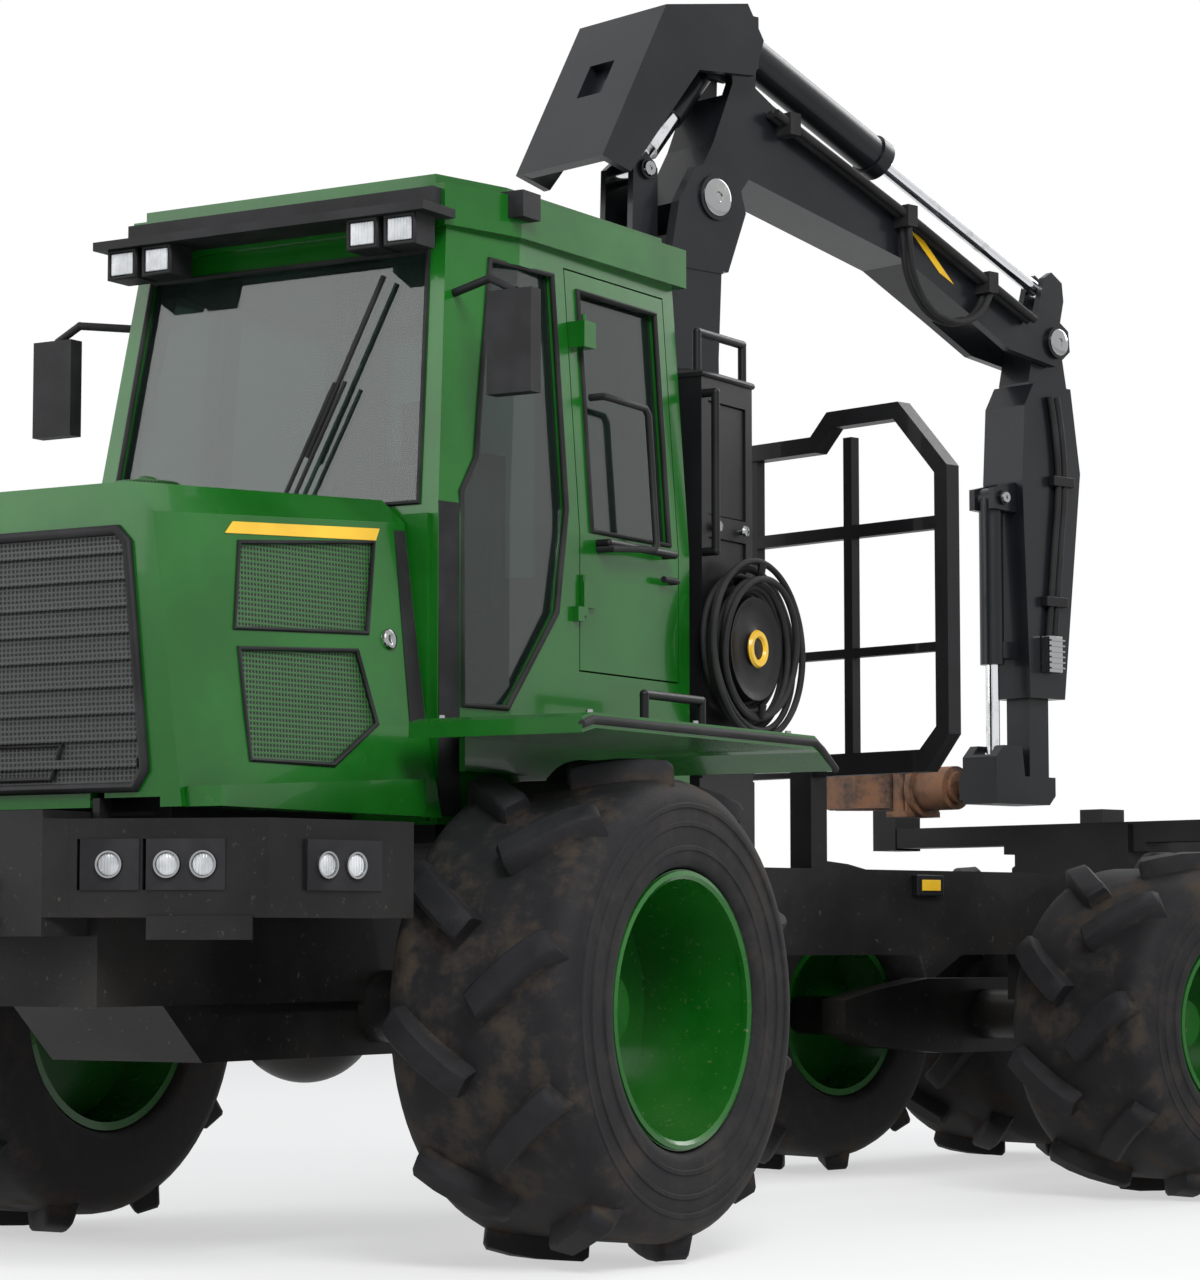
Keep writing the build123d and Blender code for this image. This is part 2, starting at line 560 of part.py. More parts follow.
root = side([(2215, 3930), (2310, 3835), (2420, 3890), (2560, 4060), (3510, 3850), (3900, 3675), (3900, 3885),
             (3520, 4060), (2700, 4385), (2600, 4440), (2610, 4700), (2500, 4760), (2440, 4720), (2470, 4440),
             (2360, 4180)], -132, 132)
root = root - side([(2340, 4395), (2700, 4395), (2700, 4800), (2340, 4800)], -90, 90)
plates = side([(3840, 3710), (3900, 3675), (4160, 3555), (4460, 3515), (4555, 3590), (4545, 3680),
               (4460, 3730), (4200, 3750), (3900, 3885), (3840, 3900)], 92, 132)
for piece in both(plates).solids():
    root = root + piece
root = root + both(rod((132, 4460, 3620), (150, 4460, 3620), 70)).solids()[0]
root = root + both(rod((132, 4460, 3620), (150, 4460, 3620), 70)).solids()[1]
root = root + rod((-146, 2540, 4680), (-132, 2540, 4680), 40) + rod((132, 2540, 4680), (146, 2540, 4680), 40)
save("boom_beam", root, True)

head = side([(1650, 4000), (1990, 4650), (2440, 4735), (2530, 4600), (2480, 4450), (2170, 4420),
             (1800, 3960)], 215, 250)
head = both(head).solids()
box = head[0] + head[1]
box = box + side([(1650, 4000), (1990, 4650), (2030, 4630), (1695, 3990)], -250, 250)
box = box + side([(1990, 4650), (2440, 4735), (2446, 4700), (1996, 4612)], -250, 250)
box = box + block(-250, -132, 2445, 2500, 4480, 4690) + block(132, 250, 2445, 2500, 4480, 4690)
q_ear = side([(2360, 4450), (2480, 4450), (2490, 4640), (2400, 4710), (2350, 4690)], 66, 98)
for piece in both(q_ear).solids():
    box = box + piece
box = box - side([(1850, 4290), (1925, 4430), (1700, 4500), (1650, 4350)], -70, 70)
box = box - rod((-110, 2420, 4510), (110, 2420, 4510), 26 + SEAT_GAP)
save("boom_head", box, True, ("boom_beam",))


def along(p, q, t):
    """Point part of the way from p to q in the crane's plane."""
    return (0, p[0] + (q[0] - p[0]) * t, p[1] + (q[1] - p[1]) * t)


S = (2030, 4030)
Q = (2420, 4510)
lift_barrel = rod((-44, *Q), (44, *Q), 55) + rod(along(Q, S, 0.02), along(Q, S, 0.47), 60)
lift_barrel = lift_barrel + rod((-104, *Q), (-44, *Q), 26) + rod((44, *Q), (104, *Q), 26)
lift_barrel = lift_barrel - rod(along(Q, S, 0.105), along(Q, S, 0.48), 52)
save("lift_barrel", lift_barrel, True, ("boom_head", "boom_beam"))
lift_rod = rod(along(Q, S, 0.45), along(Q, S, 1.0), 28)
lift_rod = lift_rod + rod((-64 + PIN_GAP, *S), (64 - PIN_GAP, *S), 46)
lift_rod = lift_rod + rod(along(Q, S, 0.46), along(Q, S, 0.78), 52 - SEAT_GAP)
save("lift_rod", lift_rod, True)

A = (2540, 4680)
J = (4520, 3860)
jib_barrel = rod((-90 + PIN_GAP, *A), (90 - PIN_GAP, *A), 60)
jib_barrel = jib_barrel + rod(along(A, J, 0.02), along(A, J, 0.46), 80)
jib_barrel = jib_barrel + rod(along(A, J, 0.44), along(A, J, 0.47), 90)
jib_barrel = jib_barrel - rod(along(A, J, 0.24), along(A, J, 0.5), 32 + SEAT_GAP)
save("jib_barrel", jib_barrel, True)
jib_rod = rod(along(A, J, 0.38), along(A, J, 1.0), 32)
jib_rod = jib_rod + rod((-32 + PIN_GAP, *J), (32 - PIN_GAP, *J), 52)
save("jib_rod", jib_rod, True)

# Jib, its extension and the grapple

E = (4460, 3620)
jib = rod((-92 + PIN_GAP, *E), (92 - PIN_GAP, *E), 92)
lever = side([(4385, 3640), (4470, 3920), (4520, 3950), (4590, 3910), (4600, 3830), (4540, 3590)], 32, 62)
for piece in both(lever).solids():
    jib = jib + piece
jib = jib + side([(4370, 3610), (4550, 3610), (4590, 3420), (4560, 3200), (4330, 3200),
                  (4330, 3440)], -84, 84)
jib = jib + side([(4270, 3330), (4330, 3430), (4580, 3430), (4640, 3060), (4520, 2060), (4290, 2060),
                  (4250, 3000)], -112, 112)
jib = jib - block(-72, 72, 4328, 4472, 2120, 2960) - block(-64, 64, 4336, 4464, 2000, 2130)
bracket = side([(4110, 2960), (4280, 3000), (4300, 2860), (4110, 2870)], 40, 70)
for piece in both(bracket).solids():
    jib = jib + piece
for piece in both(rod((70, 4170, 2920), (84, 4170, 2920), 32)).solids():
    jib = jib + piece
save("jib_arm", jib, True)

tele_barrel = rod((0, 4170, 2920), (0, 4170, 2200), 52) + rod((-40, 4170, 2920), (40, 4170, 2920), 48)
tele_barrel = tele_barrel + block(-50, 50, 4170, 4300, 2230, 2300)
tele_barrel = tele_barrel - rod((0, 4170, 2190), (0, 4170, 2860), 30 + SEAT_GAP)
save("telescope_barrel", tele_barrel, True, ("jib_arm",))

inner = block(-64 + SEAT_GAP, 64 - SEAT_GAP, 4336 + SEAT_GAP, 4464 - SEAT_GAP, 1640, 2520)
tip = side([(4080, 1600), (4080, 1800), (4130, 1850), (4250, 1850), (4268, 1720), (4470, 1720), (4470, 1640),
            (4430, 1600)], -95, 95)
tip = tip - side([(4090, 1770), (4090, 1900), (4250, 1900), (4250, 1770)], -50, 50)
inner = inner + tip
inner = inner + block(-150, -90, 4120, 4180, 1620, 1740) + block(-150, -90, 4250, 4310, 1620, 1740)
save("jib_extension", inner, True)
tele_rod = rod((0, 4170, 2400), (0, 4170, 1790), 30) + rod((-50, 4170, 1790), (50, 4170, 1790), 38)
save("telescope_rod", tele_rod, True, ("jib_extension",))

link = block(-235, -116, 4186, 4244, 1652, 1708)
link = link + rod((-135, 4180 + PIN_GAP, 1680), (-135, 4250 - PIN_GAP, 1680), 37)
link = link + rod((-250 + PIN_GAP, 4215, 1680), (-225, 4215, 1680), 70)
save("grapple_link", link, True)
rotator = rod((-250, 4215, 1680), (-420, 4215, 1680), 95) + rod((-420, 4215, 1680), (-450, 4215, 1680), 120)
rotator = rotator + block(-458, -445, 4110, 4320, 1558, 1802)
rotator = rotator + block(-565, -445, 4105, 4325, 1778, 1802) + block(-565, -445, 4105, 4325, 1558, 1582)
save("grapple_rotator", rotator, True)


def claw(sign):
    """One curved claw, closed, opening about an upright pin."""
    out = plan([(-470, 62), (-520, 25), (-700, 165), (-900, 135), (-990, 20), (-985, 8), (-880, 62),
                (-720, 75), (-560, 14), (-480, 14)], 1600, 1760)
    out = out + rod((-510, 62, 1582), (-510, 62, 1778), 42)
    out = Pos(0, 4215, 0) * out
    if sign > 0:
        return out
    return Pos(0, 8430, 0) * out.mirror(Plane.XZ)


save("claw_rear", claw(1), True)
save("claw_front", claw(-1), True)

# Hoses clamped along the boom

HOSE_R = 17.0
HOSE_RUN = [(2660, 4340), (3460, 4025), (4250, 3690)]
CLAMPS = ((2750, 4305), (3450, 4029), (3960, 3813))


def hose_set(places, x0, x1):
    """Hoses side by side in their clamps."""
    out = None
    for y, z in CLAMPS:
        clamp = block(x0, x1, y - 30, y + 30, z - 45, z + 45)
        out = clamp if out is None else out + clamp
    for x in places:
        out = out + pipe([(x, y, z) for y, z in HOSE_RUN], HOSE_R)
    return out


hoses = [*hose_set((-160,), -185, -132).solids(), *hose_set((152, 189), 132, 212).solids()]
save("boom_hoses", Compound(children=hoses), True)

# Slack hose between two clamps, hanging in a loop beside the boom
LOOP_R = 14.0
LOOP_ROUTE = [(3450, 3983), (3450, 3900), (3480, 3760), (3590, 3640), (3730, 3610),
              (3850, 3640), (3925, 3700), (3960, 3764)]
for label, x in (("inner", 152.0), ("outer", 190.0)):
    save("boom_loop_" + label, pipe([(x, y, z) for y, z in LOOP_ROUTE], LOOP_R), True, ("boom_hoses",))

# Steering cylinders between the two frames


def parked(x, y):
    """Rear-frame point where the machine is parked."""
    a = math.radians(STEER)
    dy = y - HINGE_Y
    return (x * math.cos(a) - dy * math.sin(a), HINGE_Y + x * math.sin(a) + dy * math.cos(a))


for name, s in (("left", 1), ("right", -1)):
    foot = (s * 420.0, 960.0)
    eye = parked(s * 390.0, 2125.0)
    run = math.hypot(eye[0] - foot[0], eye[1] - foot[1])
    ux = (eye[0] - foot[0]) / run
    uy = (eye[1] - foot[1]) / run
    end = (foot[0] + ux * 700, foot[1] + uy * 700, STEER_Z)
    well = (foot[0] + ux * 90, foot[1] + uy * 90, STEER_Z)
    mouth = (foot[0] + ux * 720, foot[1] + uy * 720, STEER_Z)
    inner_end = (eye[0] - ux * 717, eye[1] - uy * 717, STEER_Z)
    start = (foot[0] + ux * 30, foot[1] + uy * 30, STEER_Z)
    barrel = rod(start, end, STEER_BARREL_R)
    barrel = barrel + rod((*foot, STEER_Z - STEER_BARREL_R), (*foot, STEER_Z + STEER_BARREL_R), 46)
    barrel = barrel - rod(well, mouth, 22 + SEAT_GAP)
    barrel = barrel - rod((foot[0], foot[1], 1000), (foot[0], foot[1], 1200), STEER_PIN_R + SEAT_GAP)
    save("steer_barrel_" + name, barrel)
    bar = rod(inner_end, (eye[0], eye[1], STEER_Z), 22)
    bar = bar + rod((eye[0], eye[1], 1058 + PIN_GAP), (eye[0], eye[1], 1142 - PIN_GAP), 40)
    save("steer_rod_" + name, bar)
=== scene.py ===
"""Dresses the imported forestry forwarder: finishes, trim, studio and camera."""

import json
import logging
import math
from dataclasses import dataclass
from enum import Enum
from typing import Iterable, Sequence

import bmesh
import bpy
from mathutils import Matrix, Vector

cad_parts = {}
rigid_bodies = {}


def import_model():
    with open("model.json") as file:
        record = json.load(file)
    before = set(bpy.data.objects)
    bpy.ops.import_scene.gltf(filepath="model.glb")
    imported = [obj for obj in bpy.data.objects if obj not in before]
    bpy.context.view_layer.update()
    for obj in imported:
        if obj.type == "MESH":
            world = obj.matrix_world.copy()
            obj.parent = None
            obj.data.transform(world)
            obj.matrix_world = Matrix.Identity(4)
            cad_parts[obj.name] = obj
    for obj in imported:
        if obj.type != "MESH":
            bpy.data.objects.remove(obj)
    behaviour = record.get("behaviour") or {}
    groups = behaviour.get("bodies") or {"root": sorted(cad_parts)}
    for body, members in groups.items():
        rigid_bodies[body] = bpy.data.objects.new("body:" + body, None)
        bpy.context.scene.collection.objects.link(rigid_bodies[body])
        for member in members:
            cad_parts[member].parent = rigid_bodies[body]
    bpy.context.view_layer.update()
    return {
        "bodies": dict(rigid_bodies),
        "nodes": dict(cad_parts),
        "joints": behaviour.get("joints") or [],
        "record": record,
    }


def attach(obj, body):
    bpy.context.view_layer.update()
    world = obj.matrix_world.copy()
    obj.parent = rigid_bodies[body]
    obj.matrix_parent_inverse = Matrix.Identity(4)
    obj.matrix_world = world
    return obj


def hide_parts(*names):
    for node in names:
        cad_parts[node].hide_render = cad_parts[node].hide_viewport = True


LOG = logging.getLogger("forwarder")
Colour = tuple[float, float, float]
Point = tuple[float, float, float]
Pair = tuple[float, float]
Pairs = tuple[Pair, ...]

UP = Vector((0, 0, 1))
LEFTWARD = Vector((1, 0, 0))
FULL_TURN = 2 * math.pi
SHARP_ANGLE = math.radians(48)
MERGE_GAP = 1e-6
MM_PER_M = 1000
TURN_STEPS = 28
COARSE_LINE = (2, 6)
FINE_LINE = (3, 10)
BOLT_STEPS = ((14, 1.5, 1.45, 0.35, 0.15), (6, 1.0, 0.93, 0.7, 0.65))


class Half(Enum):
    """Which half of the articulated machine a point is measured on."""

    FRONT = "front"
    REAR = "rear"


class Side(Enum):
    """Machine side, with the sign of x on it."""

    LEFT = 1
    RIGHT = -1

    @property
    def tag(self) -> str:
        """The side's name as pieces carry it."""
        return self.name.lower()


@dataclass(frozen=True)
class Parking:
    """Where the machine's own millimetre measures lie in the shared frame."""

    steer_deg: float = -16.0
    hinge_y: float = 1750.0
    shift_x: float = -525.5
    shift_y: float = -2399.0

    def place(self, half: Half, x: float, y: float, z: float) -> Vector:
        """Gives a point of the shared frame in metres.

        Args:
            half: The machine half that the point belongs to.
            x: Millimetres to the machine's left.
            y: Millimetres rearward of the front axle.
            z: Millimetres above the ground.

        Returns:
            The point in the shared frame.
        """
        if half is Half.REAR:
            turn = math.radians(self.steer_deg)
            away = y - self.hinge_y
            x, y = (x * math.cos(turn) - away * math.sin(turn),
                    self.hinge_y + x * math.sin(turn) + away * math.cos(turn))
        return Vector((x + self.shift_x, y + self.shift_y, z)) / MM_PER_M

    def aim(self, half: Half, x: float, y: float, z: float) -> Vector:
        """Gives a unit direction of the shared frame, with the arguments of place."""
        return (self.place(half, x, y, z) - self.place(half, 0, 0, 0)).normalized()


PARK = Parking()


def fore(x: float, y: float, z: float) -> Vector:
    """A point of the front half in the shared frame."""
    return PARK.place(Half.FRONT, x, y, z)


def aft(x: float, y: float, z: float) -> Vector:
    """A point of the rear half in the shared frame."""
    return PARK.place(Half.REAR, x, y, z)


def aft_side(side: Side) -> Vector:
    """Unit direction out of one side of the rear half."""
    return PARK.aim(Half.REAR, side.value, 0, 0)


def oblong(u0: float, v0: float, u1: float, v1: float) -> Pairs:
    """Corners of a rectangle in order, from its first corner and the one across."""
    return ((u0, v0), (u1, v0), (u1, v1), (u0, v1))


class Wire:
    """A shader socket that takes part in Python sums."""

    def __init__(self, shader: "Shader", socket: bpy.types.NodeSocket) -> None:
        """Keeps the socket and the shader that it belongs to."""
        self.shader = shader
        self.socket = socket

    def _math(self, operation: str, first: object, second: object) -> "Wire":
        """Adds one Math node."""
        return self.shader.node("ShaderNodeMath", {"operation": operation}, {0: first, 1: second})

    def __add__(self, other: object) -> "Wire":
        """Sum."""
        return self._math("ADD", self, other)

    __radd__ = __add__

    def __sub__(self, other: object) -> "Wire":
        """Difference."""
        return self._math("SUBTRACT", self, other)

    def __rsub__(self, other: object) -> "Wire":
        """Difference from a number."""
        return self._math("SUBTRACT", other, self)

    def __mul__(self, other: object) -> "Wire":
        """Product."""
        return self._math("MULTIPLY", self, other)

    __rmul__ = __mul__

    def sine(self) -> "Wire":
        """Sine of the value."""
        return self._math("SINE", self, 0.0)

    def ramp(self, low: float, high: float) -> "Wire":
        """Smooth step from 0 at low to 1 at high."""
        return self.shader.node("ShaderNodeMapRange", {"interpolation_type": "SMOOTHSTEP"},
                                {"Value": self, "From Min": low, "From Max": high})


class Shader:
    """One procedural material, or the world, under construction."""

    MIX_SOCKETS = (0, 6, 7)
    MIX_RESULT = 2
    SEEN_RAYS = ("Is Camera Ray", "Is Glossy Ray", "Is Transmission Ray")

    def __init__(self, name: str, world: bool = False) -> None:
        """Starts an empty node tree.

        Args:
            name: Name of the material or world.
            world: Whether it is the world.
        """
        self.owner = (bpy.data.worlds if world else bpy.data.materials).new(name)
        self.owner.use_nodes = True
        self.tree = self.owner.node_tree
        self.tree.nodes.clear()
        self.output = self.tree.nodes.new("ShaderNodeOutputWorld" if world else "ShaderNodeOutputMaterial")

    def node(self, kind: str, settings: dict[str, object], inputs: dict[object, object],
             output: object = 0) -> Wire:
        """Adds a node.

        Args:
            kind: Blender's node type.
            settings: Properties that are set before the sockets.
            inputs: Values or wires by socket name or index.
            output: Which output is wanted.

        Returns:
            The wanted output.
        """
        made = self.tree.nodes.new(kind)
        for key, value in settings.items():
            setattr(made, key, value)
        for key, value in inputs.items():
            if isinstance(value, Wire):
                self.tree.links.new(value.socket, made.inputs[key])
            else:
                made.inputs[key].default_value = value
        return Wire(self, made.outputs[output])

    def coords(self) -> Wire:
        """Object coordinates, which are the shared frame in metres."""
        return self.node("ShaderNodeTexCoord", {}, {}, "Object")

    def axis(self, index: int) -> Wire:
        """One object coordinate."""
        return self.node("ShaderNodeSeparateXYZ", {}, {0: self.coords()}, index)

    def vector(self, operation: str, first: object, second: object, output: object = 0) -> Wire:
        """One step of vector maths."""
        return self.node("ShaderNodeVectorMath", {"operation": operation}, {0: first, 1: second}, output)

    def noise(self, scale: float, detail: float = 4.0, rough: float = 0.55) -> Wire:
        """Noise value over the object."""
        return self.node("ShaderNodeTexNoise", {}, {"Vector": self.coords(), "Scale": scale,
                                                    "Detail": detail, "Roughness": rough})

    def blend(self, factor: object, first: object, second: object) -> Wire:
        """Mix of two colours.

        Args:
            factor: Share of the second colour.
            first: A wire, or a colour of three numbers.
            second: The same.

        Returns:
            The mixed colour.
        """
        colours = [value if isinstance(value, Wire) else (*value, 1.0) for value in (first, second)]
        return self.node("ShaderNodeMix", {"data_type": "RGBA"},
                         dict(zip(self.MIX_SOCKETS, (factor, *colours))), self.MIX_RESULT)

    def bump(self, height: Wire, strength: float, distance: float) -> Wire:
        """Normal from a height."""
        return self.node("ShaderNodeBump", {}, {"Height": height, "Strength": strength,
                                                "Distance": distance})

    def upward(self) -> Wire:
        """How far the surface faces up, from -1 to 1."""
        normal = self.node("ShaderNodeNewGeometry", {}, {}, "Normal")
        return self.node("ShaderNodeSeparateXYZ", {}, {0: normal}, 2)

    def seen(self) -> Wire:
        """1 for rays that show the surface, 0 for rays that only carry its light."""
        rays = [self.node("ShaderNodeLightPath", {}, {}, kind) for kind in self.SEEN_RAYS]
        return (rays[0] + rays[1] + rays[2]).ramp(0.0, 1.0)

    def close(self, last: Wire) -> bpy.types.ID:
        """Ends the tree in a shader.

        Args:
            last: The shader that the output takes.

        Returns:
            The finished material or world.
        """
        self.tree.links.new(last.socket, self.output.inputs["Surface"])
        return self.owner

    def surface(self, **sockets: object) -> bpy.types.ID:
        """Ends a material in a Principled shader.

        Args:
            sockets: Values or wires, with underscores for the spaces in socket names.

        Returns:
            The finished material.
        """
        inputs = {key.replace("_", " "): value for key, value in sockets.items()}
        return self.close(self.node("ShaderNodeBsdfPrincipled", {}, inputs))


@dataclass(frozen=True)
class Paint:
    """Sprayed steel with dust on its upper faces and near the ground."""

    name: str
    colour: Colour
    gloss: float = 0.34
    dust: float = 0.5
    dust_colour: Colour = (0.20, 0.165, 0.12)
    coat: float = 0.25
    shine: float = 0.4
    deep: float = 0.82
    bright: float = 1.16
    cloud_scale: float = 1.7
    speck_scale: float = 38.0
    grain_scale: float = 420.0
    splash: Pair = (0.5, 1.9)
    flat_top: Pair = (0.55, 1.0)

    def make(self) -> bpy.types.Material:
        """Builds the paint.

        Returns:
            The material.
        """
        s = Shader(self.name)
        cloud = s.noise(self.cloud_scale, 5.0)
        speck = s.noise(self.speck_scale, 3.0, 0.7)
        deep = tuple(c * self.deep for c in self.colour)
        bright = tuple(min(1.0, c * self.bright + 0.004) for c in self.colour)
        base = s.blend(cloud.ramp(0.3, 0.7), deep, bright)
        low = 1 - s.axis(2).ramp(*self.splash)
        top = s.upward().ramp(*self.flat_top)
        film = (low * 0.7 + top * 0.45) * cloud.ramp(0.32, 0.72) * self.dust
        soil = film + speck.ramp(0.62, 0.78) * low * 0.5
        grain = s.noise(self.grain_scale, 2.0)
        return s.surface(Base_Color=s.blend(soil, base, self.dust_colour),
                         Roughness=soil * 0.45 + speck * 0.12 + self.gloss - 0.06,
                         Coat_Weight=(1 - soil) * self.coat, Specular_IOR_Level=self.shine,
                         Normal=s.bump(grain, 0.05, 0.001))


@dataclass(frozen=True)
class Moulding:
    """Matte moulded plastic or rubber with a fine skin grain."""

    name: str
    colour: Colour
    rough: float = 0.62
    grain: float = 260.0
    cloud_scale: float = 5.0
    pale: float = 1.6
    shine: float = 0.2

    def make(self) -> bpy.types.Material:
        """Builds the moulded finish.

        Returns:
            The material.
        """
        s = Shader(self.name)
        cloud = s.noise(self.cloud_scale, 4.0)
        skin = s.noise(self.grain, 2.0)
        pale = tuple(c * self.pale + 0.008 for c in self.colour)
        return s.surface(Base_Color=s.blend(cloud.ramp(0.35, 0.75), self.colour, pale),
                         Roughness=cloud * 0.2 + self.rough - 0.1,
                         Normal=s.bump(skin, 0.18, 0.0015), Specular_IOR_Level=self.shine)


@dataclass(frozen=True)
class Screen:
    """Woven wire screen over a dark space, whose holes are painted near-black as painted shade."""

    name: str
    wire: Colour = (0.022, 0.024, 0.024)
    # Near-black colour of the holes: painted shade of the space behind the screen.
    hole: Colour = (0.003, 0.003, 0.003)
    pitch: float = 0.016

    def make(self) -> bpy.types.Material:
        """Builds the screen.

        Returns:
            The material.
        """
        s = Shader(self.name)
        half_turn = FULL_TURN / self.pitch / 2
        along = (s.axis(1) + s.axis(0)) * half_turn
        rows = s.axis(2) * half_turn
        # The mask is 1 in the holes. There the near-black hole colour paints the shade behind the screen; it
        # also sets roughness and bump.
        shaded_holes = (along.sine() * along.sine() * rows.sine() * rows.sine()).ramp(0.1, 0.45)
        return s.surface(Base_Color=s.blend(shaded_holes, self.wire, self.hole),
                         Roughness=shaded_holes * 0.3 + 0.45, Normal=s.bump(1 - shaded_holes, 0.6, 0.004))


@dataclass(frozen=True)
class Chrome:
    """Polished cylinder rod with a thin film of oil and dust."""

    name: str
    colour: Colour = (0.72, 0.73, 0.75)
    dull: Colour = (0.42, 0.41, 0.39)
    film_scale: float = 14.0

    def make(self) -> bpy.types.Material:
        """Builds the plated finish.

        Returns:
            The material.
        """
        s = Shader(self.name)
        film = s.noise(self.film_scale, 5.0)
        return s.surface(Base_Color=s.blend(film.ramp(0.5, 0.8), self.colour, self.dull),
                         Metallic=1.0, Roughness=film.ramp(0.45, 0.8) * 0.25 + 0.1)


@dataclass(frozen=True)
class Rust:
    """Bare cast steel, brown with rust and dark where it rubs."""

    name: str
    light: Colour = (0.20, 0.092, 0.045)
    dark: Colour = (0.055, 0.034, 0.026)
    patch_scale: float = 9.0
    pit_scale: float = 85.0

    def make(self) -> bpy.types.Material:
        """Builds the rusty finish.

        Returns:
            The material.
        """
        s = Shader(self.name)
        patch = s.noise(self.patch_scale, 7.0, 0.68)
        pit = s.noise(self.pit_scale, 4.0, 0.7)
        return s.surface(Base_Color=s.blend(patch.ramp(0.36, 0.62), self.dark, self.light),
                         Roughness=patch * 0.3 + 0.55, Metallic=(1 - patch.ramp(0.3, 0.5)) * 0.5,
                         Normal=s.bump(pit, 0.5, 0.003))


@dataclass(frozen=True)
class Glass:
    """Tinted safety glass."""

    name: str
    tint: Colour = (0.10, 0.15, 0.13)
    index: float = 1.46
    clear: float = 0.92
    smear_scale: float = 6.0

    def make(self) -> bpy.types.Material:
        """Builds the glass.

        Returns:
            The material.
        """
        s = Shader(self.name)
        smear = s.noise(self.smear_scale, 3.0)
        return s.surface(Base_Color=(*self.tint, 1.0), IOR=self.index, Transmission_Weight=self.clear,
                         Roughness=smear.ramp(0.55, 0.85) * 0.08 + 0.015)


@dataclass(frozen=True)
class Lens:
    """Lamp lens with moulded ribs."""

    name: str
    colour: Colour = (0.62, 0.64, 0.66)
    pitch: float = 0.012
    dim: float = 0.55
    spot_scale: float = 9.0

    def make(self) -> bpy.types.Material:
        """Builds the lens.

        Returns:
            The material.
        """
        s = Shader(self.name)
        rib = ((s.axis(0) + s.axis(1)) * (FULL_TURN / self.pitch)).sine()
        spot = s.noise(self.spot_scale, 3.0)
        dim = tuple(c * self.dim for c in self.colour)
        return s.surface(Base_Color=s.blend(spot.ramp(0.35, 0.7), dim, self.colour),
                         Roughness=spot * 0.1 + 0.08, Coat_Weight=spot.ramp(0.2, 0.4) * 0.6,
                         Normal=s.bump(rib, 0.35, 0.003))


@dataclass(frozen=True)
class Tread:
    """Tyre rubber with dried mud between the lugs of one wheel."""

    name: str
    centre: Vector
    spin: Vector
    floor: float
    rubber: Colour = (0.010, 0.010, 0.011)
    mud: Colour = (0.060, 0.044, 0.030)
    patch_scale: float = 7.0
    fine_scale: float = 120.0
    worn: float = 1.7
    shine: float = 0.16

    def make(self) -> bpy.types.Material:
        """Builds the tyre's rubber.

        Returns:
            The material.
        """
        s = Shader(self.name)
        ring = s.vector("CROSS_PRODUCT", s.vector("SUBTRACT", s.coords(), self.centre), self.spin)
        reach = s.node("ShaderNodeVectorMath", {"operation": "LENGTH"}, {0: ring}, "Value")
        patch = s.noise(self.patch_scale, 6.0, 0.65)
        fine = s.noise(self.fine_scale, 4.0, 0.7)
        foot = reach.ramp(self.floor - 0.10, self.floor - 0.02)
        groove = foot * (1 - reach.ramp(self.floor + 0.004, self.floor + 0.030))
        dusty = (1 - reach.ramp(self.floor - 0.08, self.floor)) * 0.35
        soil = groove * patch.ramp(0.46, 0.7) * 0.7 + dusty * patch.ramp(0.45, 0.75)
        worn = s.blend(patch.ramp(0.3, 0.7), self.rubber, tuple(c * self.worn for c in self.rubber))
        return s.surface(Base_Color=s.blend(soil, worn, self.mud),
                         Roughness=soil * 0.25 + patch * 0.15 + 0.58,
                         Normal=s.bump(fine + patch * 0.6, 0.45, 0.004), Specular_IOR_Level=self.shine)


@dataclass(frozen=True)
class Weave:
    """Seat cloth with a fine woven grain."""

    name: str
    thread: Colour = (0.03, 0.032, 0.036)
    pale: Colour = (0.075, 0.078, 0.085)
    pitch: float = 0.004
    wear_scale: float = 6.0
    sheen: float = 0.3

    def make(self) -> bpy.types.Material:
        """Builds the cloth.

        Returns:
            The material.
        """
        s = Shader(self.name)
        turn = FULL_TURN / self.pitch
        weft = (s.axis(0) * turn).sine()
        warp = ((s.axis(1) + s.axis(2)) * turn).sine()
        cross = (weft * warp).ramp(-0.6, 0.6)
        wear = s.noise(self.wear_scale, 4.0)
        return s.surface(Base_Color=s.blend(cross * wear, self.thread, self.pale),
                         Roughness=wear * 0.1 + 0.82, Normal=s.bump(cross, 0.5, 0.001),
                         Sheen_Weight=self.sheen)


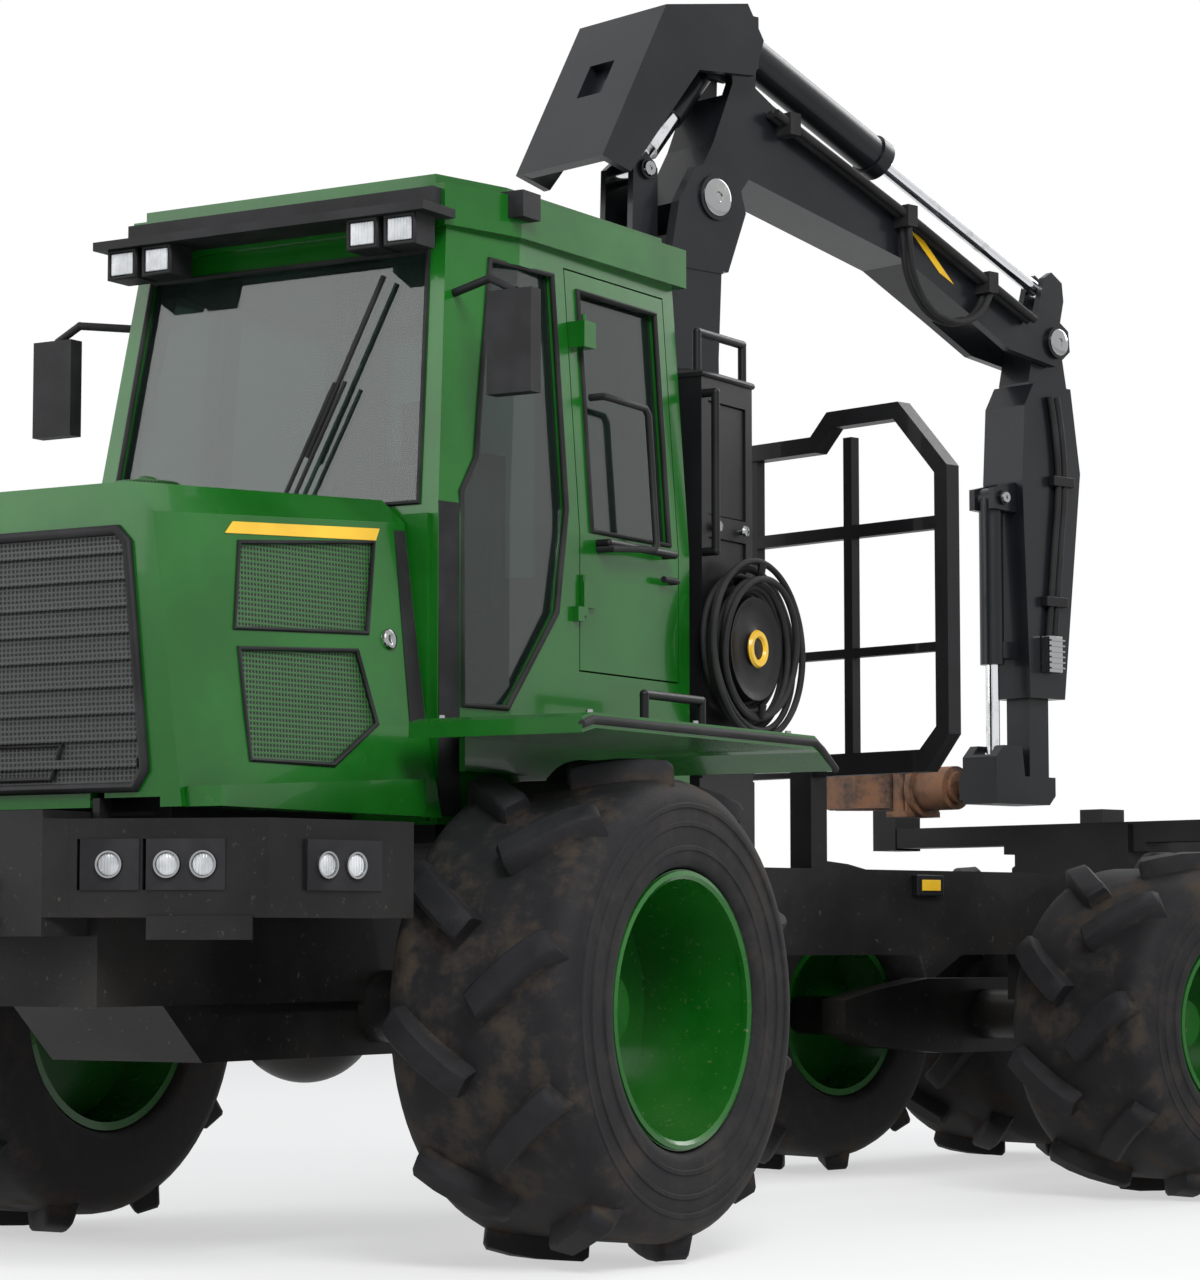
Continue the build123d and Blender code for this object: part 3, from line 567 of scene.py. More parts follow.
class Forge:
    """Makes trim pieces and hands each one to a body of the machine."""

    def __init__(self, made: dict[str, bpy.types.Material]) -> None:
        """Keeps the finishes that pieces are given by name."""
        self.made = made

    def piece(self, name: str, shape: bmesh.types.BMesh | Sequence[bmesh.types.BMesh], finish: str,
              body: str, flat: bool = False) -> bpy.types.Object:
        """Turns a shape into a finished piece.

        Args:
            name: Piece name.
            shape: The shape, or several that become one. They are used up.
            finish: Name of the finish that the piece is given.
            body: Body that carries the piece.
            flat: Whether faces are shaded flat.

        Returns:
            The new object.
        """
        bm = shape if isinstance(shape, bmesh.types.BMesh) else self.gather(shape)
        bmesh.ops.remove_doubles(bm, verts=bm.verts, dist=MERGE_GAP)
        bmesh.ops.recalc_face_normals(bm, faces=bm.faces)
        mesh = bpy.data.meshes.new(name)
        bm.to_mesh(mesh)
        bm.free()
        if not flat:
            mesh.shade_smooth()
            mesh.set_sharp_from_angle(angle=SHARP_ANGLE)
        return self.enlist(bpy.data.objects.new(name, mesh), finish, body)

    def enlist(self, item: bpy.types.Object, finish: str, body: str) -> bpy.types.Object:
        """Links an object, gives it its finish and slot and lets it ride on a body.

        Args:
            item: The object.
            finish: Name of the finish.
            body: Body that carries it.

        Returns:
            The same object.
        """
        bpy.context.scene.collection.objects.link(item)
        item.data.materials.append(self.made[finish])
        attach(item, body)
        LOG.info("%s rides on %s", item.name, body)
        return item

    @staticmethod
    def plate(outline: Sequence[Vector], push: Vector, edge: float = 0.0) -> bmesh.types.BMesh:
        """Pulls a flat outline into a plate.

        Args:
            outline: Corners in order.
            push: How far and which way the plate is thick.
            edge: Width of the bevel on its edges.

        Returns:
            The plate.
        """
        bm = bmesh.new()
        face = bm.faces.new([bm.verts.new(p) for p in outline])
        grown = bmesh.ops.extrude_face_region(bm, geom=[face])
        moved = [v for v in grown["geom"] if isinstance(v, bmesh.types.BMVert)]
        bmesh.ops.translate(bm, verts=moved, vec=push)
        if edge > 0:
            bmesh.ops.bevel(bm, geom=list(bm.edges), offset=edge, segments=2, profile=0.5,
                            affect="EDGES", material=-1)
        return bm

    @staticmethod
    def turned(profile: Sequence[Pair], centre: Vector, axis: Vector, steps: int = TURN_STEPS,
               scale: float = 1.0) -> bmesh.types.BMesh:
        """Turns a profile round an axis.

        Args:
            profile: Pairs of radius and distance along the axis.
            centre: A point on the axis.
            axis: Unit direction of the axis.
            steps: Faces round the piece.
            scale: What the profile's radii are multiplied by.

        Returns:
            The turned piece.
        """
        across = axis.orthogonal().normalized()
        bm = bmesh.new()
        line = [bm.verts.new(centre + across * (r * scale) + axis * h) for r, h in profile]
        edges = [bm.edges.new(pair) for pair in zip(line, line[1:])]
        bmesh.ops.spin(bm, geom=line + edges, cent=centre, axis=axis, angle=FULL_TURN, steps=steps,
                       use_merge=True)
        return bm

    @staticmethod
    def heads(places: Iterable[Vector], axis: Vector, radius: float, height: float) -> bmesh.types.BMesh:
        """Makes hexagon bolt heads with washers.

        Args:
            places: Where the heads stand.
            axis: Which way they point.
            radius: The hexagon's outer radius.
            height: Height of a head with its washer.

        Returns:
            All the heads.
        """
        bm = bmesh.new()
        turn = axis.to_track_quat("Z", "Y").to_matrix().to_4x4()
        for place in places:
            base = Matrix.Translation(place) @ turn
            for sides, foot, top, deep, rise in BOLT_STEPS:
                bmesh.ops.create_cone(bm, cap_ends=True, segments=sides, radius1=radius * foot,
                                      radius2=radius * top, depth=height * deep,
                                      matrix=base @ Matrix.Translation((0, 0, height * rise)))
        return bm

    @staticmethod
    def line(name: str, points: Sequence[Vector], radius: float, closed: bool, smooth: bool,
             finer: bool = False) -> bpy.types.Curve:
        """Makes a round curve.

        Args:
            name: The curve's name.
            points: Where it runs.
            radius: Its radius.
            closed: Whether it returns to its start.
            smooth: Whether it is a smooth spline.
            finer: Whether it has more faces round and along it.

        Returns:
            The curve.
        """
        curve = bpy.data.curves.new(name, "CURVE")
        curve.dimensions = "3D"
        curve.bevel_depth = radius
        curve.bevel_resolution, curve.resolution_u = FINE_LINE if finer else COARSE_LINE
        curve.use_fill_caps = True
        spline = curve.splines.new("NURBS" if smooth else "POLY")
        spline.points.add(len(points) - 1)
        for spot, p in zip(spline.points, points):
            spot.co = (*p, 1.0)
        if smooth:
            spline.order_u = 3
            spline.use_endpoint_u = not closed
        spline.use_cyclic_u = closed
        return curve

    @staticmethod
    def strand(points: Sequence[Vector], radius: float, closed: bool = False,
               smooth: bool = False) -> bmesh.types.BMesh:
        """Makes a round bead along a line.

        Args:
            points: Where it runs.
            radius: Its radius.
            closed: Whether it returns to its start.
            smooth: Whether it is a smooth spline.

        Returns:
            The bead.
        """
        curve = Forge.line("line", points, radius, closed, smooth)
        item = bpy.data.objects.new("line", curve)
        mesh = bpy.data.meshes.new_from_object(item)
        bm = bmesh.new()
        bm.from_mesh(mesh)
        bpy.data.objects.remove(item)
        bpy.data.curves.remove(curve)
        bpy.data.meshes.remove(mesh)
        return bm

    @staticmethod
    def gather(parts: Sequence[bmesh.types.BMesh]) -> bmesh.types.BMesh:
        """Puts several shapes into one.

        Args:
            parts: The shapes, which are used up.

        Returns:
            The whole.
        """
        whole = bmesh.new()
        for part in parts:
            mesh = bpy.data.meshes.new("part")
            part.to_mesh(mesh)
            part.free()
            whole.from_mesh(mesh)
            bpy.data.meshes.remove(mesh)
        return whole


@dataclass
class HoodTrim:
    """Stripes, edge strips, latches, vent rims and screen frame of the tilting hood.

    Pairs named foot, knee, shoulder and top give a measure at the nose and its growth to the rear.
    """

    forge: Forge
    nose_y: float = -1500.0
    length: float = 1200.0
    foot_z: float = 1410.0
    knee_z: float = 1700.0
    foot: Pair = (640.0, 120.0)
    knee: Pair = (600.0, 100.0)
    shoulder: Pair = (520.0, 90.0)
    top: Pair = (2290.0, 80.0)
    skin: float = 0.003
    skin_rise: float = 0.0004
    stripe: Pairs = ((-1190, 0.905), (-470, 0.905), (-445, 0.965), (-1150, 0.965))
    strip: Pairs = ((-395, 0.02), (-316, 0.02), (-316, 0.96), (-370, 0.96))
    latch_at: Pair = (-455, 0.42)
    latch_tilt: float = 0.13
    latch: Pairs = ((0, 0.010), (0.012, 0.010), (0.014, 0.012), (0.030, 0.012), (0.034, 0.008),
                    (0.034, -0.004))
    vents: tuple[tuple[str, Pairs], ...] = (
        ("upper", ((-1190, 1960), (-1130, 2230), (-480, 2290), (-560, 1990))),
        ("lower", ((-1180, 1560), (-1180, 1900), (-620, 1930), (-560, 1700), (-800, 1560))))
    vent_rim: float = 0.009
    rings: tuple[tuple[str, float, float, Pairs], ...] = (
        ("screen_handle", 6, 0.008, ((-150, 1500), (150, 1500), (185, 1600), (-185, 1600))),
        ("screen_frame", 4, 0.017, ((-470, 1470), (470, 1470), (505, 1520), (430, 2200), (390, 2240),
                                    (-390, 2240), (-430, 2200), (-505, 1520))))

    def at(self, measure: Pair, y: float) -> float:
        """A measure that grows from the nose, at some place along the hood."""
        return measure[0] + measure[1] * ((y - self.nose_y) / self.length)

    def wall(self, side: Side, y: float, up: float) -> Vector:
        """Finds a point on the hood's upper side.

        Args:
            side: Which side.
            y: Place along the machine.
            up: Share of the way from the knee to the shoulder.

        Returns:
            The point.
        """
        knee, top = self.at(self.knee, y), self.at(self.top, y)
        x = knee + (self.at(self.shoulder, y) - knee) * up
        return fore(side.value * x, y, self.knee_z + (top - self.knee_z) * up)

    def flank(self, side: Side, y: float, z: float) -> Vector:
        """Finds a point on the hood's side at a height.

        Args:
            side: Which side.
            y: Place along the machine.
            z: Height.

        Returns:
            The point.
        """
        if z >= self.knee_z:
            return self.wall(side, y, (z - self.knee_z) / (self.at(self.top, y) - self.knee_z))
        foot, knee = self.at(self.foot, y), self.at(self.knee, y)
        x = foot + (knee - foot) * (z - self.foot_z) / (self.knee_z - self.foot_z)
        return fore(side.value * x, y, z)

    def build(self) -> None:
        """Makes the hood's pieces."""
        for side in Side:
            out = Vector((side.value * self.skin, 0, self.skin_rise))
            for name, outline, finish in (("hood_stripe_", self.stripe, "yellow"),
                                          ("hood_edge_strip_", self.strip, "plastic")):
                corners = [self.wall(side, y, up) for y, up in outline]
                self.forge.piece(name + side.tag, Forge.plate(corners, out), finish, "hood", flat=True)
            axis = Vector((side.value, 0, self.latch_tilt)).normalized()
            lock = Forge.turned(self.latch, self.wall(side, *self.latch_at), axis)
            self.forge.piece("hood_latch_" + side.tag, lock, "steel", "hood")
            for label, outline in self.vents:
                rim = Forge.strand([self.flank(side, y, z) for y, z in outline], self.vent_rim, True)
                self.forge.piece(f"vent_rim_{label}_{side.tag}", rim, "plastic", "hood")
        for name, lift, radius, ring in self.rings:
            rim = Forge.strand([fore(x, self.nose_y - lift, z) for x, z in ring], radius, True)
            self.forge.piece(name, rim, "plastic", "hood")


@dataclass
class CabTrim:
    """Seals, cowls, handles, wiper, lamp lenses, mirror glass and seat pads of the cab.

    Pairs named face, nose and full give a measure at the waist and its change up to the roof.
    """

    forge: Forge
    seal: float = 0.011
    waist_z: float = 2400.0
    upper: float = 980.0
    face: Pair = (-280.0, 160.0)
    nose: Pair = (720.0, -80.0)
    full: Pair = (790.0, -70.0)
    taper: float = 330.0
    lift: float = 2.0
    rear_y: float = 1237.0
    screen: Pairs = ((-640, 2440), (640, 2440), (580, 3300), (-580, 3300))
    rear_pane: Pairs = ((-560, 2350), (560, 2350), (520, 3290), (-520, 3290))
    side_pane: Pairs = ((-170, 1780), (30, 1780), (330, 2120), (400, 2480), (400, 3290), (60, 3290),
                        (-90, 2600), (-170, 2480))
    right_pane: Pairs = oblong(500, 2420, 1130, 3290)
    door_pane: Pairs = oblong(560, 2420, 1090, 3260)
    cowl: Pairs = oblong(-275, 1420, -182, 2440)
    cowl_push: Pair = (0.004, -0.002)
    pull: tuple[Point, ...] = ((600, 2890, 4), (600, 2890, 62), (870, 2882, 66), (890, 2860, 66),
                               (890, 2400, 66), (870, 2380, 66), (600, 2360, 62), (600, 2360, 4))
    pull_radius: float = 0.013
    lever: tuple[Point, ...] = ((1095, 2290, 2), (1095, 2290, 30), (1000, 2290, 30))
    lever_radius: float = 0.012
    wiper_arm: Pairs = ((90, 2440), (270, 2870))
    wiper_blade: Pairs = ((180, 2620), (420, 3225))
    wiper_gap: tuple[float, ...] = (0, 42)
    wiper_lift: Pair = (26, 18)
    wiper_radius: Pair = (0.008, 0.010)
    wiper_slope: float = 0.16
    pivot: Pairs = ((0, 0.034), (0.018, 0.034), (0.022, 0.028), (0.022, -0.004))
    lamp_x: tuple[float, ...] = (430, 580)
    lamp_half: float = 58
    lamp_z: Pair = (3296, 3390)
    lamp_y: float = -300
    lamp_inset: float = 0.1
    lens_push: float = -0.007
    lens_bevel: float = 0.003
    bezel: float = 0.009
    mirror_x: Pair = (882, 1028)
    mirror_z: Pair = (2795, 3105)
    mirror_y: float = -165
    mirror_push: float = 0.003
    mirror_bevel: float = 0.001
    pads: tuple[tuple[str, Point, Point], ...] = (
        ("seat_cushion", (-275, 335, 1880), (275, 815, 2012)),
        ("seat_back", (-255, 722, 2005), (255, 876, 2768)),
        ("head_rest", (-152, 742, 2775), (152, 868, 2975)))
    pad_cuts: int = 5
    crown: float = 0.05
    crown_power: int = 4

    def lean(self, z: float) -> float:
        """How far the upper cab has leaned in at a height, from 0 to 1."""
        return max(0.0, (z - self.waist_z) / self.upper)

    def front(self, x: float, z: float, lift: float) -> Vector:
        """A point a little before the cab's front."""
        return fore(x, self.face[0] + self.face[1] * self.lean(z) - lift, z)

    def flank(self, side: Side, y: float, z: float, lift: float) -> Vector:
        """Finds a point on the cab's side or a little outside it.

        Args:
            side: Which side.
            y: Place along the machine.
            z: Height.
            lift: How far outside.

        Returns:
            The point.
        """
        k = self.lean(z)
        nose, full, start = (low + grow * k for low, grow in (self.nose, self.full, self.face))
        share = min(1.0, max(0.0, (y - start) / self.taper))
        return fore(side.value * (nose + (full - nose) * share + lift), y, z)

    def sealed(self, side: Side, pane: Pairs) -> bmesh.types.BMesh:
        """The seal round one side pane."""
        return Forge.strand([self.flank(side, y, z, self.lift) for y, z in pane], self.seal, True)

    def build(self) -> None:
        """Makes the cab's pieces."""
        make = self.forge.piece
        seals = [Forge.strand([self.front(x, z, self.lift) for x, z in self.screen], self.seal, True)]
        seals.extend(self.sealed(side, self.side_pane) for side in Side)
        seals.append(self.sealed(Side.RIGHT, self.right_pane))
        seals.append(Forge.strand([fore(x, self.rear_y, z) for x, z in self.rear_pane], self.seal, True))
        make("window_seals", seals, "rubber", "front")
        make("door_window_seal", self.sealed(Side.LEFT, self.door_pane), "rubber", "door")
        for side in Side:
            corners = [self.flank(side, y, z, 0) for y, z in self.cowl]
            push = Vector((side.value * self.cowl_push[0], self.cowl_push[1], 0))
            make("cab_cowl_" + side.tag, Forge.plate(corners, push), "plastic", "front", flat=True)
        self.bar("door_pull", self.pull, self.pull_radius)
        self.wiper()
        self.lamps()
        self.mirrors()
        self.seat()
        self.bar("door_lever", self.lever, self.lever_radius)

    def bar(self, name: str, route: Sequence[Point], radius: float) -> None:
        """Makes a round bar on the door, from places along it, heights and lifts."""
        points = [self.flank(Side.LEFT, y, z, lift) for y, z, lift in route]
        self.forge.piece(name, Forge.strand(points, radius), "plastic", "door")

    def wiper(self) -> None:
        """Double-arm wiper parked across the screen."""
        (arm_lift, blade_lift), (arm, blade) = self.wiper_lift, self.wiper_radius
        parts = [Forge.strand([self.front(x + d, z, arm_lift) for x, z in self.wiper_arm], arm)
                 for d in self.wiper_gap]
        parts.append(Forge.strand([self.front(x, z, blade_lift) for x, z in self.wiper_blade], blade))
        axis = Vector((0, -1, self.wiper_slope)).normalized()
        x, z = self.wiper_arm[0]
        parts.extend(Forge.turned(self.pivot, self.front(x + d, z, 0), axis) for d in self.wiper_gap)
        self.forge.piece("screen_wiper", parts, "plastic", "front")

    def lamps(self) -> None:
        """Lenses and bezels of the roof's work lamps."""
        lenses, bezels = [], []
        low, high = self.lamp_z
        for middle in (side.value * x for side in Side for x in self.lamp_x):
            frame = oblong(middle - self.lamp_half, low, middle + self.lamp_half, high)
            spots = [fore(x, self.lamp_y, z) for x, z in frame]
            inner = [spots[n].lerp(spots[n - 2], self.lamp_inset) for n in range(4)]
            lenses.append(Forge.plate(inner, Vector((0, self.lens_push, 0)), self.lens_bevel))
            bezels.append(Forge.strand(spots, self.bezel, True))
        self.forge.piece("work_lamp_lenses", lenses, "lens", "front", flat=True)
        self.forge.piece("work_lamp_bezels", bezels, "plastic", "front")

    def mirrors(self) -> None:
        """Glass on the rear faces of the mirror heads."""
        panes = []
        (near, far), (low, high) = self.mirror_x, self.mirror_z
        for side in Side:
            frame = oblong(side.value * near, low, side.value * far, high)
            corners = [fore(x, self.mirror_y, z) for x, z in frame]
            panes.append(Forge.plate(corners, Vector((0, self.mirror_push, 0)), self.mirror_bevel))
        self.forge.piece("mirror_glass", panes, "chrome", "front", flat=True)

    def seat(self) -> None:
        """Crowned seat cushions over the seat's frame."""
        for name, low, high in self.pads:
            bm = bmesh.new()
            a, b = fore(*low), fore(*high)
            middle, span = (a + b) / 2, b - a
            bmesh.ops.create_cube(bm, size=1.0, matrix=Matrix.LocRotScale(middle, None, span))
            bmesh.ops.subdivide_edges(bm, edges=bm.edges, cuts=self.pad_cuts, use_grid_fill=True)
            for v in bm.verts:
                off = [2 * (v.co[i] - middle[i]) / span[i] for i in range(3)]
                crown = 1 - self.crown * sum(abs(c) ** self.crown_power for c in off)
                v.co = middle + Vector([off[i] * span[i] / 2 * crown for i in range(3)])
            item = self.forge.piece(name, bm, "weave", "front")
            item.modifiers.new("round", "SUBSURF").levels = 1
            item.modifiers["round"].render_levels = 1


@dataclass
class BumperTrim:
    """Round lamps in the bumper's dark recesses.

    A bay has its middle, its run and rise, its depth and its lamps' places. Profiles are in shares
    of the lamp's radius.
    """

    forge: Forge
    height: float = 1240.0
    bays: tuple[tuple[float, float, float, float, float, tuple[float, ...]], ...] = (
        (440.0, -1567.0, 570.0, 220.0, 35.0, (0.0,)),
        (655.0, -1482.0, 570.0, 220.0, 35.0, (-55.0, 55.0)),
        (950.0, -1138.0, 140.0, 660.0, 25.0, (-75.0, 40.0)))
    radius: float = 0.038
    lens: Pairs = ((0, 0.010), (0.5, 0.009), (0.86, 0.004), (0.9, -0.004))
    ring: Pairs = ((0.88, 0.002), (0.92, 0.011), (1.06, 0.011), (1.12, 0.0))

    def build(self) -> None:
        """Makes the bumper's lamps."""
        lenses, rings = [], []
        for side in Side:
            for x, y, run, rise, deep, offsets in self.bays:
                size = math.hypot(run, rise)
                along = Vector((side.value * run / size, rise / size, 0))
                out = Vector((side.value * rise / size, -run / size, 0))
                middle = fore(side.value * x, y, self.height)
                for step in offsets:
                    spot = middle + along * step / MM_PER_M + out * deep / MM_PER_M
                    lenses.append(Forge.turned(self.lens, spot, out, scale=self.radius))
                    rings.append(Forge.turned(self.ring, spot, out, scale=self.radius))
        self.forge.piece("bumper_lamp_lenses", lenses, "lens", "front")
        self.forge.piece("bumper_lamp_rings", rings, "steel", "front")


@dataclass
class HoseReel:
    """Coiled hose on its hooks beside the tank, with a drum and a ring."""

    forge: Forge
    hub: Point = (862.0, 1560.0, 2080.0)
    turns: int = 9
    shuffle: int = 5
    corners: int = 16
    radii: Pair = (0.205, 0.325)
    stack: Pair = (-0.040, 0.085)
    sway: float = 0.02
    wobble: float = 0.022
    phases: Pair = (2.1, 1.7)
    hose: float = 0.0125
    drum: Pairs = ((0.0, 0.030), (0.045, 0.030), (0.06, 0.016), (0.165, 0.010), (0.185, 0.024),
                   (0.19, 0.024), (0.19, -0.062), (0.0, -0.062))
    ring: Pairs = ((0.040, 0.030), (0.046, 0.040), (0.064, 0.040), (0.070, 0.030), (0.064, 0.022),
                   (0.046, 0.022), (0.040, 0.030))
    drum_steps: int = 40
    ring_steps: int = 36
    hook_x: Point = (800, 905, 912)
    hooks: Pairs = ((2330, 60), (1835, 40))
    hook_radius: float = 0.016

    def loop(self, n: int, centre: Vector) -> bmesh.types.BMesh:
        """Makes one loose turn of hose.

        Args:
            n: Which turn it is.
            centre: The coil's centre.

        Returns:
            The turn.
        """
        last = self.turns - 1
        inner, outer = self.radii
        reach = inner + (outer - inner) * ((n * self.shuffle) % self.turns) / last
        lean = self.sway * math.sin(self.phases[0] * n)
        depth = self.stack[0] + self.stack[1] * (n / last)
        points = []
        for k in range(self.corners):
            a = FULL_TURN * k / self.corners
            r = reach * (1 + self.wobble * math.sin(2 * a + self.phases[1] * n))
            points.append(centre + Vector((depth + lean * math.cos(a + n), r * math.cos(a), r * math.sin(a))))
        return Forge.strand(points, self.hose, True, True)

    def build(self) -> None:
        """Makes the coil that stands for its plain solid, and its reel."""
        centre = fore(*self.hub)
        loops = [self.loop(n, centre) for n in range(self.turns)]
        coil = self.forge.piece("hose_turns", loops, "rubber", "front")
        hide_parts("hose_coil")
        drum = Forge.turned(self.drum, centre, LEFTWARD, self.drum_steps)
        self.forge.piece("reel_drum", drum, "black", "front")
        ring = Forge.turned(self.ring, centre, LEFTWARD, self.ring_steps)
        self.forge.piece("reel_ring", ring, "yellow", "front")
        hooks = []
        for z, lift in self.hooks:
            points = [fore(x, self.hub[1], h) for x, h in zip(self.hook_x, (z, z, z + lift))]
            hooks.append(Forge.strand(points, self.hook_radius))
        self.forge.piece("reel_hooks", hooks, "black", "front")


SLACK_HOSES = (("inner", 152.0), ("outer", 190.0))


@dataclass
class SlackHose:
    """Hose that hangs free between two clamps on the boom."""

    forge: Forge
    label: str
    x: float
    radius: float = 0.014
    length: float = 0.81
    route: Pairs = ((3450, 3983), (3450, 3900), (3480, 3760), (3590, 3640), (3730, 3610), (3850, 3640),
                    (3925, 3700), (3960, 3764))

    def build(self) -> None:
        """Makes the hose as one smooth curve."""
        name = "boom_hose_" + self.label
        points = [aft(self.x, y, z) for y, z in self.route]
        curve = Forge.line(name, points, self.radius, closed=False, smooth=True, finer=True)
        item = self.forge.enlist(bpy.data.objects.new(name, curve), "rubber", "boom")
        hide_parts("boom_loop_" + self.label)
        2 * self.radius


@dataclass(frozen=True)
class Wheel:
    """One wheel's place, with its rim in millimetres and its tread floor in metres."""

    name: str
    half: Half
    side: Side
    middle: Point
    bead: float
    dish: float
    floor: float
    pairs: int

    @property
    def hub(self) -> Vector:
        """The wheel's centre."""
        return PARK.place(self.half, *self.middle)

    @property
    def axle(self) -> Vector:
        """Unit direction of the axle, to the machine's left."""
        return PARK.aim(self.half, 1, 0, 0)

    @property
    def rubber(self) -> str:
        """Name of the tyre's finish."""
        return "tyre_" + self.name

    def node(self, kind: str) -> str:
        """Name of one of the wheel's CAD nodes or of its body, such as front_tyre_left."""
        end, rest = self.name.split("_", 1)
        return f"{end}_{kind}_{rest}"


FRONT_WHEEL = (448, 400, 0.738, 10)
REAR_WHEEL = (352, 380, 0.624, 9)
AXLES = (("front", Half.FRONT, (1154, 0, 800), FRONT_WHEEL),
         ("rear_fore", Half.REAR, (1067, 4000, 688), REAR_WHEEL),
         ("rear_aft", Half.REAR, (1067, 5500, 688), REAR_WHEEL))
WHEELS = tuple(Wheel(f"{end}_{side.tag}", half, side, (side.value * x, y, z), *sizes)
               for end, half, (x, y, z), sizes in AXLES for side in Side)


@dataclass
class TyreForm:
    """Round carcass and bevelled lugs that stand for one faceted tyre."""

    forge: Forge
    wheel: Wheel
    half_width: float = 0.340
    sunk: float = 0.003
    steps: int = 72
    bead_curve: Pairs = ((0, 0.025), (0.012, 0.006), (0.035, 0))
    shoulder: Pairs = ((0.075, 0), (0.045, 0.010), (0.020, 0.034), (0.005, 0.066), (0, 0.100))
    stations: tuple[float, ...] = (-1.0, -0.93, -0.5, 0.0, 0.5, 0.88, 1.0)
    reach: float = 0.062
    root: float = 0.03
    slant: float = math.radians(38)
    half_long: float = 0.165
    middle: float = 0.156
    bow: float = 0.010
    widths: tuple[float, ...] = (0.060, 0.046, 0.036)
    edge: float = 0.012
    end_drop: float = 0.014
    end_slim: float = 0.90
    crown: float = 0.016
    phase: float = 0.25

    def carcass(self) -> bmesh.types.BMesh:
        """Turns the tyre's body with rounded shoulders.

        Returns:
            The body.
        """
        inner, base, wide = self.wheel.bead / MM_PER_M, self.wheel.floor - self.sunk, self.half_width
        flank = [(inner + r, wide - x) for r, x in self.bead_curve]
        flank += [(base - r, wide - x) for r, x in self.shoulder]
        profile = flank + [(r, -x) for r, x in reversed(flank)] + flank[:1]
        return Forge.turned(profile, self.wheel.hub, self.wheel.axle, self.steps)

    def lug(self, turn: float, way: int) -> bmesh.types.BMesh:
        """Makes one slanted bar, bent round the tyre, in wheel space.

        Args:
            turn: Angle round the axle.
            way: Half of the tread it lies on, 1 or -1.

        Returns:
            The closed bar.
        """
        bm = bmesh.new()
        floor = self.wheel.floor
        sin, cos = math.sin(self.slant * way), math.cos(self.slant * way)
        rows = []
        for u in self.stations:
            end = abs(u) == 1
            drop = self.end_drop if end else 0.0
            peak = floor + self.reach - drop - self.crown * max(0.0, u * way) ** 2
            slim = self.end_slim if end else 1.0
            half = list(zip(self.widths, (floor - self.root, peak - self.edge, peak)))
            row = []
            for w, r in [(-w, r) for w, r in half] + half[::-1]:
                x = way * self.middle + u * self.half_long * cos - w * slim * sin
                y = u * self.half_long * sin + w * slim * cos + way * self.bow * (1 - u * u)
                angle = turn - y / floor
                row.append(bm.verts.new((x, -r * math.sin(angle), r * math.cos(angle))))
            rows.append(row)
        for first, second in zip(rows, rows[1:]):
            for k in range(len(first)):
                m = (k + 1) % len(first)
                bm.faces.new((first[k], first[m], second[m], second[k]))
        bm.faces.new(rows[0])
        bm.faces.new(rows[-1][::-1])
        return bm

    def build(self) -> None:
        """Makes the tyre and puts it in the plain one's place."""
        wheel = self.wheel
        seat = Matrix((wheel.axle, PARK.aim(wheel.half, 0, 1, 0), UP)).transposed().to_4x4()
        seat.translation = wheel.hub
        if wheel.side is Side.RIGHT:
            seat = seat @ Matrix.Scale(-1, 4, LEFTWARD)
        step = FULL_TURN / wheel.pairs
        lugs = Forge.gather([self.lug((n + self.phase * way) * step, way)
                             for n in range(wheel.pairs) for way in (1, -1)])
        lugs.transform(seat)
        name = "tyre_form_" + wheel.name
        tyre = self.forge.piece(name, [self.carcass(), lugs], wheel.rubber, wheel.node("wheel"))
        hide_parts(wheel.node("tyre"))


@dataclass
class WheelTrim:
    """Hub bolts, rim lip and sidewall ribs of one wheel."""

    forge: Forge
    wheel: Wheel
    half_width: float = 340.0
    inset: float = 25.0
    hub_stand: float = 15.0
    rim_wall: float = 28.0
    bolts: int = 12
    bolt_share: float = 0.52
    bolt: Pair = (0.017, 0.026)
    facets: int = 20
    lip: Pairs = ((-0.030, -0.012), (-0.030, 0.006), (-0.018, 0.014), (-0.004, 0.010), (-0.002, -0.010))
    lip_steps: int = 56
    rib_stand: float = 2.0
    rib_steps: int = 64
    rib_shares: tuple[float, ...] = (0.28, 0.62, 0.88)
    rib: Pairs = ((-0.012, -0.005), (-0.006, 0.003), (0.006, 0.003), (0.012, -0.005))

    def build(self) -> None:
        """Makes the wheel's pieces."""
        wheel, make = self.wheel, self.forge.piece
        axis = PARK.aim(wheel.half, wheel.side.value, 0, 0)
        hub, body = wheel.hub, wheel.node("wheel")
        across = axis.orthogonal().normalized()
        face = (self.half_width - self.inset - wheel.dish + self.hub_stand) / MM_PER_M
        ring = (wheel.bead - self.rim_wall) * self.bolt_share / MM_PER_M
        spots = [hub + axis * face + Matrix.Rotation(FULL_TURN * n / self.bolts, 3, axis) @ across * ring
                 for n in range(self.bolts)]
        make("hub_bolts_" + wheel.name, Forge.heads(spots, axis, *self.bolt), "steel", body, flat=True)
        inner = wheel.bead * math.cos(math.pi / self.facets) / MM_PER_M
        edge = (self.half_width - self.inset) / MM_PER_M
        lip = Forge.turned([(inner + r, edge + h) for r, h in self.lip], hub, axis, self.lip_steps)
        make("rim_lip_" + wheel.name, lip, "green", body)
        base = (self.half_width + self.rib_stand) / MM_PER_M
        ribs = []
        for share in self.rib_shares:
            middle = (wheel.bead + wheel.bead / 2 * share) / MM_PER_M
            profile = [(middle + r, base + h) for r, h in self.rib]
            ribs.append(Forge.turned(profile, hub, axis, self.rib_steps))
        make("sidewall_ribs_" + wheel.name, ribs, wheel.rubber, body)


